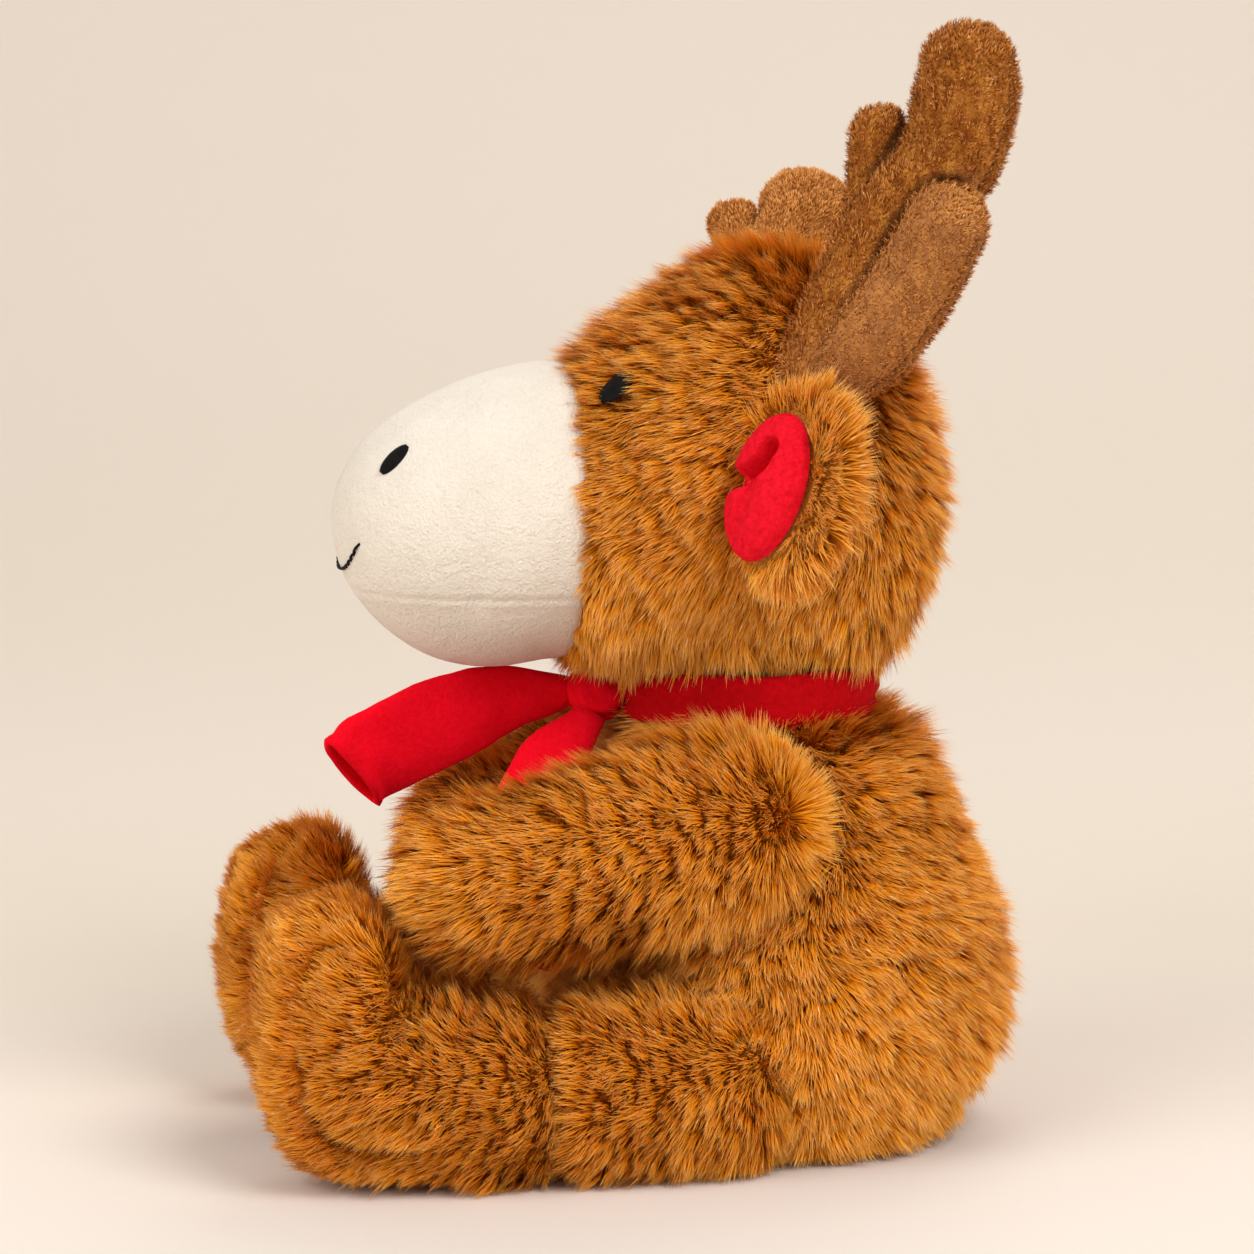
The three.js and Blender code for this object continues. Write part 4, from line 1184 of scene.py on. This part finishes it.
def build_legs():
    for side, way in SIDES:
        body = f"{side}_leg"
        nodes = f"{side}_leg_skin", f"{side}_foot_sole"
        skin = padded_skin(lambda name, inset: leg_form(name, side, inset), body, 0.85, *nodes)

        def comb(p, n):
            led = limb_comb(HIP, way, 0.0)(p, n)
            foot = smoothed(-0.085, -0.12, p[:, 1])[:, None]
            fan = np.clip((p[:, 2:3] - 0.03) / 0.03, -0.3, 1.5) * foot * UP
            return led + 0.7 * fan

        def pile(p, n):
            buried = smoothed(0.034, 0.048, way * p[:, 0] + 0.5 * np.maximum(HIP[1] - p[:, 1], 0))
            seat = smoothed(-0.97, -0.7, n[:, 2])
            band, seam = foot_band(p, n)
            bulge = smoothed(-0.125, -0.108, p[:, 1]) * smoothed(-0.08, -0.095, p[:, 1])
            instep = 1 + 0.4 * bulge * smoothed(0.05, 0.062, p[:, 2])
            instep *= 1 - 0.45 * ankle_crease(p)
            instep *= 1 - 0.12 * smoothed(0.036, 0.044, p[:, 2]) * smoothed(-0.088, -0.078, p[:, 1])
            foot = (1 - 0.36 * band) * (1 - 0.6 * seam)
            return instep * (0.45 + 0.55 * buried) * (0.2 + 0.8 * seat) * foot

        middle = HIP[1] - 0.6 * LEG_REACH
        zones = [
            ("thigh", lambda p: p[:, 1] > middle),
            ("foot", lambda p: (p[:, 1] <= middle) & (p[:, 2] > HEEL_TOP)),
            ("heel", lambda p: (p[:, 1] <= middle) & (p[:, 2] <= HEEL_TOP)),
        ]
        furred(skin, f"{side}_leg_fur", body, comb, pile, zones)


def ear_turned():
    """Rotation of an ear, whose own bowl opens along -Y."""
    turn = Matrix.Rotation(math.radians(EAR_TURN), 3, "Z") @ Matrix.Rotation(math.radians(-EAR_TILT), 3, "X")
    return np.array(turn)


def placed(obj, turn, middle, way):
    """The form, made about its own origin, on its side of the head."""
    put(obj, mirrored(places_of(obj) @ turn.T + middle, way))
    if way < 0:
        obj.data.flip_normals()
        obj.data.update()
    return obj


def ear_pad(name, inset):
    """The ear's padding: round behind and flat in front, where the lining is sewn on."""
    rows = through(EAR, 4)
    depth = EAR_SIZE[1] + EAR_FRONT
    middles = axis_rows(EAR_SIZE[1] - rows[:, 0] * depth, 1)
    across = axis_rows(np.maximum(rows[:, 1], 0) * EAR_SIZE[0] / 2, 0)
    over = axis_rows(np.maximum(rows[:, 2], 0) * EAR_SIZE[2] / 2, 2)
    return grown(lofted(name, middles, across, over, 48), -inset)


# The lining in the ear's own X and Z, its two folds in millimetres
LINING_MIDDLE = (-4.0 * MM, -1.0 * MM)
LINING_HALF = (11.6 * MM, 18.6 * MM)
LINING_SLANT = 0.12
LINING_BAY = 0.6 * MM
NOTCH = [(-14.0, 0.6), (-9.0, 0.8), (-3.4, 2.2), (-0.2, 5.4), (1.0, 9.2)]
LONG_FOLD = [(-1.4, -1.0), (-2.6, -7.6), (-4.6, -13.5)]


def near_route(x, z, route):
    best = np.full(x.shape, 1.0)
    for (ax, az), (bx, bz) in zip(route, route[1:]):
        a, b = np.array([ax, az]) * MM, np.array([bx, bz]) * MM
        d = b - a
        share = np.clip(((x - a[0]) * d[0] + (z - a[1]) * d[1]) / (d @ d), 0, 1)
        best = np.minimum(best, np.hypot(x - a[0] - share * d[0], z - a[1] - share * d[1]))
    return best


def ear_lining(name):
    """The red lining puffs out of the bowl and is folded over itself at a deep notch."""
    rings, sides = 40, 72
    places = []
    for layer in (1, -1):
        for r in np.arange(1, rings + 1)[:: layer] / rings:
            for a in 2 * np.pi * np.arange(sides) / sides:
                x, z = r * LINING_HALF[0] * math.cos(a), r * LINING_HALF[1] * math.sin(a)
                places.append((x, layer, z, r))
    grid = np.array(places)
    x, z, r = grid[:, 0], grid[:, 2], grid[:, 3]
    puff = 6.0 * MM * np.sqrt(np.clip(1 - r**2.6, 0, 1))
    cut = near_route(x, z, NOTCH)
    fold = near_route(x, z, LONG_FOLD)
    notch = 9.5 * MM * np.exp(-((cut / (2.2 * MM)) ** 4)) * (puff / (6 * MM))
    front = puff - notch - 1.6 * MM * np.exp(-((fold / (1.8 * MM)) ** 2))
    y = np.where(grid[:, 1] > 0, -front - 1.0 * MM, 2.0 * MM * np.sqrt(np.clip(1 - r**2, 0, 1)) - 1.0 * MM)
    bay = 4.0 * MM * np.exp(-(((z - LINING_BAY) / (2.4 * MM)) ** 2)) * smoothed(-5 * MM, -11 * MM, x)
    p = np.stack([x + bay + LINING_SLANT * z + LINING_MIDDLE[0], y, z + LINING_MIDDLE[1]], 1)
    hubs = [[LINING_MIDDLE[0], ring[:, 1].mean(), LINING_MIDDLE[1]] for ring in (p[:sides], p[-sides:])]
    p = np.vstack([p, hubs])
    faces, last = [], 2 * rings * sides
    for k in range(2 * rings - 1):
        for i in range(sides):
            j = (i + 1) % sides
            faces.append((k * sides + i, k * sides + j, (k + 1) * sides + j, (k + 1) * sides + i))
    for i in range(sides):
        j = (i + 1) % sides
        faces.append((last, j, i))
        faces.append((last + 1, last - sides + i, last - sides + j))
    made = mesh_object(name, p, faces)
    made.data.update()
    flat = np.array([f.normal.y * f.area for f in made.data.polygons[: rings * sides // 2]]).sum()
    if flat > 0:
        made.data.flip_normals()
    return made


def build_ears():
    turn, middle = ear_turned(), EAR_PLACE
    for side, way in SIDES:
        body = f"{side}_ear"
        skin = placed(ear_pad(f"{side}_ear_padding", 4.0 * MM), turn, middle, way)
        set_attribute(skin.data, "tone", "FLOAT", np.full(len(skin.data.vertices), 0.35))
        dressed(skin, EAR_CLOTH, body, "fur", f"{side}_ear_back")
        lining = placed(ear_lining(f"{side}_ear_fold"), turn, middle, way)
        dressed(lining, LINING, body, "red_fleece", f"{side}_ear_lining")

        def local(p, way=way):
            return (mirrored(p, way) - middle) @ turn

        def comb(p, n):
            q = local(p)
            away = unit(q * (1, 0, 1) - np.array([-4 * MM, 0, 0]))
            behind = smoothed(3 * MM, 9 * MM, q[:, 1])[:, None]
            led = away + flow(0, 0.35, 0) - behind * (away * 0.6 + flow(0, 0.6, 0.4))
            return mirrored(led @ turn.T, way)

        def pile(p, n):
            q = local(p)
            high = q[:, 2] - LINING_MIDDLE[1]
            wide = q[:, 0] - LINING_SLANT * high - LINING_MIDDLE[0]
            red = np.hypot(wide / LINING_HALF[0], high / LINING_HALF[1])
            open_front = smoothed(0.98, 1.12, red)
            facing = (mirrored(n, way) @ turn)[:, 1] < 0.1
            head_side = smoothed(-17 * MM, -12 * MM, q[:, 0])
            return np.where(facing, open_front, 1.0) * (0.3 + 0.7 * head_side)

        furred(skin, f"{side}_ear_fur", body, comb, pile, material=EAR_FUR, density=3.2e6, Length=8.5 * MM)


def build_antlers():
    for side, way in SIDES:
        body = f"{side}_antler"
        skin = antler_form(f"{side}_antler_padding", side, 0.4 * MM)
        dressed(skin, PLUSH, body, "antler_plush", f"{side}_antler_skin")
        filling = antler_form(f"{side}_antler_filling", side, 3 * MM, 2 * MM)
        dressed(filling, WAD, body, "stuffing", f"{side}_antler_stuffing")
        root = mirrored(ANTLER_ROOT, way)
        sizes = {"Length": 1.6 * MM, "Tuft size": 2.0 * MM, "Lock size": 6 * MM, "Tint spread": 1.4}
        furred(
            skin, f"{side}_antler_nap", body, lambda p, n: unit(p - root),
            lambda p, n: 1 - 0.75 * attribute_of(skin, "fold"),
            material=ANTLER_NAP, slot="antler_plush", density=3e6, width=0.26 * MM, **sizes,
        )


def oval_on(form_top, length, width, side, place, name):
    """Satin stitches in a small oval that lies on the face, domed in the middle."""
    at = np.array([side, place, form_top(side, place)])
    along = unit(np.array([0, width / 4, form_top(side, place + width / 4) - at[2]]))
    out = unit(np.array([width / 4, 0, form_top(side + width / 4, place) - at[2]]))
    normal = unit(np.cross(out, along))
    across = np.cross(normal, along)
    threads = int(round(length / THREAD))
    stitches = []
    for i in range(threads):
        share = (i + 0.5) / threads * 2 - 1
        half = width / 2 * math.sqrt(max(1 - share**2, 0.02))
        ts = np.linspace(-1, 1, 7)
        middle = at + along * (share * length / 2)
        rise = 1.0 * MM * np.sqrt(np.clip(1.08 - ts**2, 0, 1)) * math.sqrt(max(1 - 0.8 * share**2, 0.05))
        points = middle + across * (ts * half)[:, None] + normal * (rise - 0.3 * MM)[:, None]
        rows = np.column_stack([points, np.full(len(points), THREAD * 0.62)])
        stitches.append(lofted(f"{name}_{i}", *tube_rings(rows, along, 1.0), 8))
    return joined(stitches, name)


def ring_at(place, stations, back, size, middle):
    """Half width, half height and middle of the head's or muzzle's ring at a place along Y."""
    rows = through(stations, 12)
    y = back - rows[:, 0] * size[1]
    order = np.argsort(y)
    half, tall, lift = (np.interp(place, y[order], rows[order, k]) for k in (1, 2, 3))
    return half * size[0] / 2, tall * size[2] / 2, middle + lift * size[2]


def head_ring(place):
    return ring_at(place, HEAD, SEAM_PLACE + HEAD_SIZE[1], HEAD_SIZE, HEAD_MIDDLE)


def muzzle_ring(place):
    return ring_at(place, MUZZLE, SEAM_PLACE, MUZZLE_SIZE, MUZZLE_MIDDLE)


def top_of(ring, side, place):
    half, tall, middle = ring(place)
    return middle + tall * math.sqrt(max(1 - (side / half) ** 2, 0))


def muzzle_front(side, height):
    near, far = SEAM_PLACE, SEAM_PLACE - MUZZLE_SIZE[1]
    for _ in range(24):
        place = (near + far) / 2
        half, tall, middle = muzzle_ring(place)
        if (side / half) ** 2 + ((height - middle) / tall) ** 2 < 1:
            near = place
        else:
            far = place
    return (near + far) / 2


def build_face():
    for side, way in SIDES:
        ovals = (
            ("eye", head_ring, 0.5 * MM, EYE_SIZE, EYE_PLACE),
            ("nostril", muzzle_ring, -0.2 * MM, NOSTRIL_SIZE, NOSTRIL_PLACE),
        )
        for kind, ring, lift, size, spot in ovals:
            node = f"{side}_{kind}"
            piece = oval_on(lambda s, y: top_of(ring, s, y) + lift, *size, *spot, f"{node}_stitches")
            if way < 0:
                put(piece, mirrored(places_of(piece), way))
                piece.data.flip_normals()
            dressed(piece, STITCH, "head", "black_thread", node)
    points = []
    for s in np.linspace(-1, 1, 2 * MOUTH_STITCHES + 1):
        height = MOUTH_HEIGHT + MOUTH_CURL * abs(s) ** 2.5
        points.append((s * MOUTH_WIDTH / 2, muzzle_front(s * MOUTH_WIDTH / 2, height), height))
    stitches = []
    for a, b in zip(points[::2], points[2::2]):
        a, b = np.array(a), np.array(b)
        reach = (b - a) * 0.16
        ts = np.linspace(0, 1, 6)
        rise = (0.6 * MM * np.sin(np.pi * ts) - 0.2 * MM)[:, None]
        outward = unit(np.array([a[0] * 0.6, a[1] + 0.07, 0.0]))
        line = (a - reach) + ts[:, None] * (b - a + 2 * reach) + rise * outward
        rows = np.column_stack([line, np.full(6, 0.36 * MM)])
        stitches.append(lofted("mouth_bit", *tube_rings(rows, UP, 1.0), 10))
    dressed(joined(stitches, "mouth_stitches"), STITCH, "head", "black_thread", "mouth_stitch")


def wavy(p, size, scale):
    """A small push along a smooth random field, so that cloth isn't machine-straight."""
    return np.array([noise.noise_vector(Vector(q) * scale) for q in p]) * size


def build_band():
    low = NECK_TOP - SCARF_HEIGHT
    outline = []
    for a in 2 * np.pi * np.arange(20) / 20:
        c, s = math.cos(a), math.sin(a)
        r = SCARF_THICKNESS / 2 * (1 + np.sign(c) * abs(c) ** 0.7)
        outline.append((SCARF_INNER + r, low + SCARF_HEIGHT / 2 + np.sign(s) * abs(s) ** 0.7 * SCARF_HEIGHT / 2))
    sides = 96
    places, faces = [], []
    for t in 2 * np.pi * np.arange(sides) / sides:
        for r, z in outline:
            slack = 0.6 * MM * math.sin(3 * t + 1) + 0.4 * MM * math.sin(7 * t)
            places.append((r * math.sin(t), NECK_BACK - r * math.cos(t), z + slack * 0.5))
    count = len(outline)
    for i in range(sides):
        for k in range(count):
            a, b = i * count + k, i * count + (k + 1) % count
            c, d = (i + 1) % sides * count + (k + 1) % count, (i + 1) % sides * count + k
            faces.append((a, b, c, d))
    loop = mesh_object("scarf_band", places, faces)
    p = places_of(loop)
    middle = p - np.array([0, NECK_BACK, 0])
    if (normals_of(loop) * middle * (1, 1, 0)).sum(1)[np.argmax(np.hypot(middle[:, 0], middle[:, 1]))] < 0:
        loop.data.flip_normals()
        loop.data.update()
    wander = 1.2 * MM * np.sin(3 * np.arctan2(p[:, 0], p[:, 1]))
    creases = [(0.36, 1.5, 1.1), (0.72, 0.7, 1.0)]
    rise = p[:, 2] - low + wander
    lengthwise = sum(
        deep * MM * np.exp(-(((rise - at * SCARF_HEIGHT) / (wide * MM)) ** 2)) for at, deep, wide in creases
    )
    put(loop, p - normals_of(loop) * lengthwise[:, None] + wavy(p, 0.5 * MM, 60.0))
    # The band wears the red fleece in painted shade
    sheet = dressed(loop, FLEECE_IN_PAINTED_SHADE, "torso", "red_fleece", "scarf_loop")


def build_knot():
    turns = np.radians(np.linspace(-90, 90, 25))
    middles = KNOT_MIDDLE + axis_rows(np.sin(turns) * KNOT_SIZE[0] / 2, 0)
    bulge = np.maximum(np.cos(turns), 0) ** 0.8
    bulge[[0, -1]] = 0
    across, over = (axis_rows(bulge * KNOT_SIZE[axis] / 2, axis) for axis in (1, 2))
    knot = lofted("scarf_wrap", middles, across, over, 40)
    p = places_of(knot) - KNOT_MIDDLE
    fold = 0.9 * MM * np.sin((p[:, 0] + 0.5 * p[:, 2]) * 2 * np.pi / (6.5 * MM))
    put(knot, places_of(knot) + normals_of(knot) * fold[:, None] + wavy(places_of(knot), 0.6 * MM, 90.0))
    dressed(knot, FLEECE, "torso", "red_fleece", "scarf_knot")


def build_tails():
    """Each tail is a strip folded along its length, open at its end for the last share of it."""
    front_root = KNOT_MIDDLE + KNOT_SIZE * (-1 / 8, -1 / 2, 0)
    side_root = KNOT_MIDDLE + KNOT_SIZE * (1 / 3, -1 / 4, -1 / 3)
    tails = (
        ("front", front_root, FRONT_TAIL, np.array([0, 0, 1.0]), 0.55),
        ("side", side_root, SIDE_TAIL, unit(np.array([0.35, 1.0, 0])), 0.4),
    )
    for name, root, (reach, stations), side, hollow in tails:
        rows = through(stations, 6)
        points = root + rows[:, :3] * (reach, -reach, -reach)
        along = unit(np.gradient(points, axis=0))
        across = unit(side - (along @ side)[:, None] * along)
        over = np.cross(along, across)
        width, depth = rows[:, 3] * TAIL_WIDTH / 2, rows[:, 4] * TAIL_THICKNESS / 2
        shares = np.linspace(0, 1, len(rows))
        lip = 1 + 0.05 * smoothed(0.9, 1.0, shares)
        outer_skin = (points, across * (width * lip)[:, None], over * (depth * lip)[:, None])
        kept = shares >= 1 - hollow
        inner_skin = (
            points[kept][::-1],
            (across * (width - CLOTH)[:, None])[kept][::-1],
            (over * np.maximum(depth - CLOTH, 0.5 * MM)[:, None])[kept][::-1],
        )
        rim = points[-1:] + along[-1:] * 0.7 * MM
        rim_depth = max(depth[-1] - CLOTH / 2, 0.9 * MM)
        rim_ring = (rim, across[-1:] * (width[-1] - CLOTH / 2), over[-1:] * rim_depth)
        stacked = [np.vstack([a, b, c]) for a, b, c in zip(outer_skin, rim_ring, inner_skin)]
        tail = lofted(f"scarf_{name}_strip", *stacked, 48)
        p = places_of(tail)
        outwards = np.linalg.norm(p - root, axis=1) / reach
        slant = 0.3 * smoothed(0.6, 1.0, outwards) * ((p - points[-1]) @ across[-1])
        p += along[-1] * slant[:, None]
        put(tail, p + wavy(p, 1.7 * MM, 50.0) + wavy(p, 0.6 * MM, 140.0))
        sheet = dressed(tail, FLEECE, f"{name}_tail", "red_fleece", f"scarf_{name}_tail")


BACKGROUND = colour("ecdcc9")
SHEET_HALF = 9.0
# The paper's place towards the camera and its height, from the front edge to the top of the wall
SWEEP = [
    (SHEET_HALF, 0.0), (3.0, 0.0), (1.0, 0.0), (0.3, 0.0), (-0.3, 0.0),
    (-0.9, 0.0), (-1.5, 0.08), (-1.9, 0.5), (-2.0, 1.2), (-2.0, 6.0),
]
# Painted light and shade on the paper by its place along X: palest round the object, darker towards the wall and
# darkest towards the camera
PAPER_PAINTED_LIGHT = (
    (-1.0, "e5d9cb"), (-0.6, "e7dbce"), (-0.25, "e6dacb"), (0.0, "f2e6da"),
    (0.12, "f3e9de"), (0.4, "f0e5d9"), (0.8, "dccfc0"), (1.4, "cabdae"),
)


def camera_ways():
    """Level directions from the object to the camera and to the picture's right."""
    azimuth = math.radians(AZIMUTH)
    toward = np.array([math.sin(azimuth), -math.cos(azimuth), 0])
    return toward, np.cross(UP, toward)


def seen_rays(tree):
    """1 where the camera looks, in a mirror or through glass too, and 0 for light on the object."""
    rays = tree.nodes.new("ShaderNodeLightPath").outputs
    total = rays["Is Camera Ray"]
    for name in ("Is Glossy Ray", "Is Transmission Ray"):
        made = tree.nodes.new("ShaderNodeMath")
        made.operation, made.use_clamp = "ADD", True
        tree.links.new(total, made.inputs[0])
        tree.links.new(rays[name], made.inputs[1])
        total = made.outputs[0]
    return total


def mixed_shaders(tree, share, first, second):
    made = tree.nodes.new("ShaderNodeMixShader")
    tree.links.new(share, made.inputs[0])
    tree.links.new(first.outputs[0], made.inputs[1])
    tree.links.new(second.outputs[0], made.inputs[2])
    return made.outputs[0]


def build_stage():
    """A paper sweep that fades into the plain background far from the object."""
    toward, beside = camera_ways()
    places, faces = [], []
    for reach, height in SWEEP:
        for s in (-SHEET_HALF, SHEET_HALF):
            places.append(toward * reach + beside * s + UP * height)
    for i in range(len(SWEEP) - 1):
        faces.append((2 * i, 2 * i + 1, 2 * i + 3, 2 * i + 2))
    floor = mesh_object("paper_sweep", places, faces)
    if floor.data.polygons[0].normal.z < 0:
        floor.data.flip_normals()
    bend = floor.modifiers.new("soft_bend", "SUBSURF")
    bend.levels = bend.render_levels = 3
    paint = Paint("paper", 0.95, 0.1)
    spots = paint.node("ShaderNodeSeparateXYZ")
    paint.link(paint.object_places(), spots.inputs[0])
    near = paint.node("ShaderNodeMath", operation="MULTIPLY_ADD")
    scale, start = 0.25, 0.6
    near.inputs[1].default_value, near.inputs[2].default_value = scale, start
    paint.link(spots.outputs["X"], near.inputs[0])
    # Painted light and shade: the paper's colour follows its place along X
    paint.base(paint.ramp(near.outputs[0], [(start + scale * x, tone) for x, tone in PAPER_PAINTED_LIGHT]))
    reach = paint.node("ShaderNodeVectorMath", operation="LENGTH")
    paint.link(paint.object_places(), reach.inputs[0])
    far = paint.node("ShaderNodeMapRange", interpolation_type="SMOOTHSTEP")
    far.inputs["From Min"].default_value, far.inputs["From Max"].default_value = 2.1, 4.5
    paint.link(reach.outputs["Value"], far.inputs["Value"])
    share = paint.node("ShaderNodeMath", operation="MULTIPLY")
    paint.link(far.outputs["Result"], share.inputs[0])
    paint.link(seen_rays(paint.tree), share.inputs[1])
    plain = paint.node("ShaderNodeEmission", Color=BACKGROUND, Strength=1.0)
    faded = mixed_shaders(paint.tree, share.outputs[0], paint.shader, plain)
    paint.link(faded, paint.tree.nodes["Material Output"].inputs["Surface"])
    floor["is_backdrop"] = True
    floor.data.materials.append(paint.material)


def build_lights():
    toward, beside = map(Vector, camera_ways())
    middle = Vector((0, -0.03, 0.12))
    # name, place from the middle, size and power
    lamps = (
        ("key", 1.9 * toward + 1.45 * beside + Vector((0, 0, 2.3)), 1.8, 58.0),
        ("fill", 1.8 * toward - 2.0 * beside + Vector((0, 0, 1.5)), 2.6, 44.0),
        ("back", -1.0 * toward + 0.4 * beside + Vector((0, 0, 1.3)), 1.2, 6.0),
    )
    for name, place, size, power in lamps:
        light = bpy.data.lights.new(name, "AREA")
        light.shape = "DISK"
        light.size = size
        light.energy = power
        lamp = bpy.data.objects.new(name, light)
        lamp.location = middle + place
        lamp.rotation_euler = (-place).to_track_quat("-Z", "Y").to_euler()
        bpy.context.scene.collection.objects.link(lamp)
    world = bpy.data.worlds.new("room")
    world.use_nodes = True
    tree = world.node_tree
    light = tree.nodes["Background"]
    light.inputs["Color"].default_value = (1.0, 0.99, 0.975, 1)
    light.inputs["Strength"].default_value = 0.42
    plain = tree.nodes.new("ShaderNodeBackground")
    plain.inputs["Color"].default_value = BACKGROUND
    tree.links.new(mixed_shaders(tree, seen_rays(tree), light, plain), tree.nodes["World Output"].inputs["Surface"])
    bpy.context.scene.world = world


def build_camera():
    elevation = math.radians(ELEVATION)
    away = Vector(camera_ways()[0] * math.cos(elevation) + UP * math.sin(elevation))
    data = bpy.data.cameras.new("camera")
    data.sensor_width = SENSOR
    data.lens = FOCAL_PIXELS / IMAGE_PIXELS * SENSOR
    data.clip_start = 0.05
    camera = bpy.data.objects.new("camera", data)
    camera.location = Vector(AIM) + away * DISTANCE
    camera.rotation_euler = (-away).to_track_quat("-Z", "Y").to_euler()
    bpy.context.scene.collection.objects.link(camera)
    bpy.context.scene.camera = camera


bpy.context.scene.view_settings.view_transform = "Standard"
build_camera()
build_stage()
build_lights()
build_torso()
build_head()
build_muzzle()
build_arms()
build_legs()
build_ears()
build_antlers()
build_face()
noise.seed_set(WAVE_SEED)
build_band()
build_knot()
build_tails()
bpy.data.objects.remove(ONE_STRAND)

bpy.context.view_layer.update()
plain = [[[float(v) for v in corner] for corner in box] for box in (cad_box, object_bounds())]
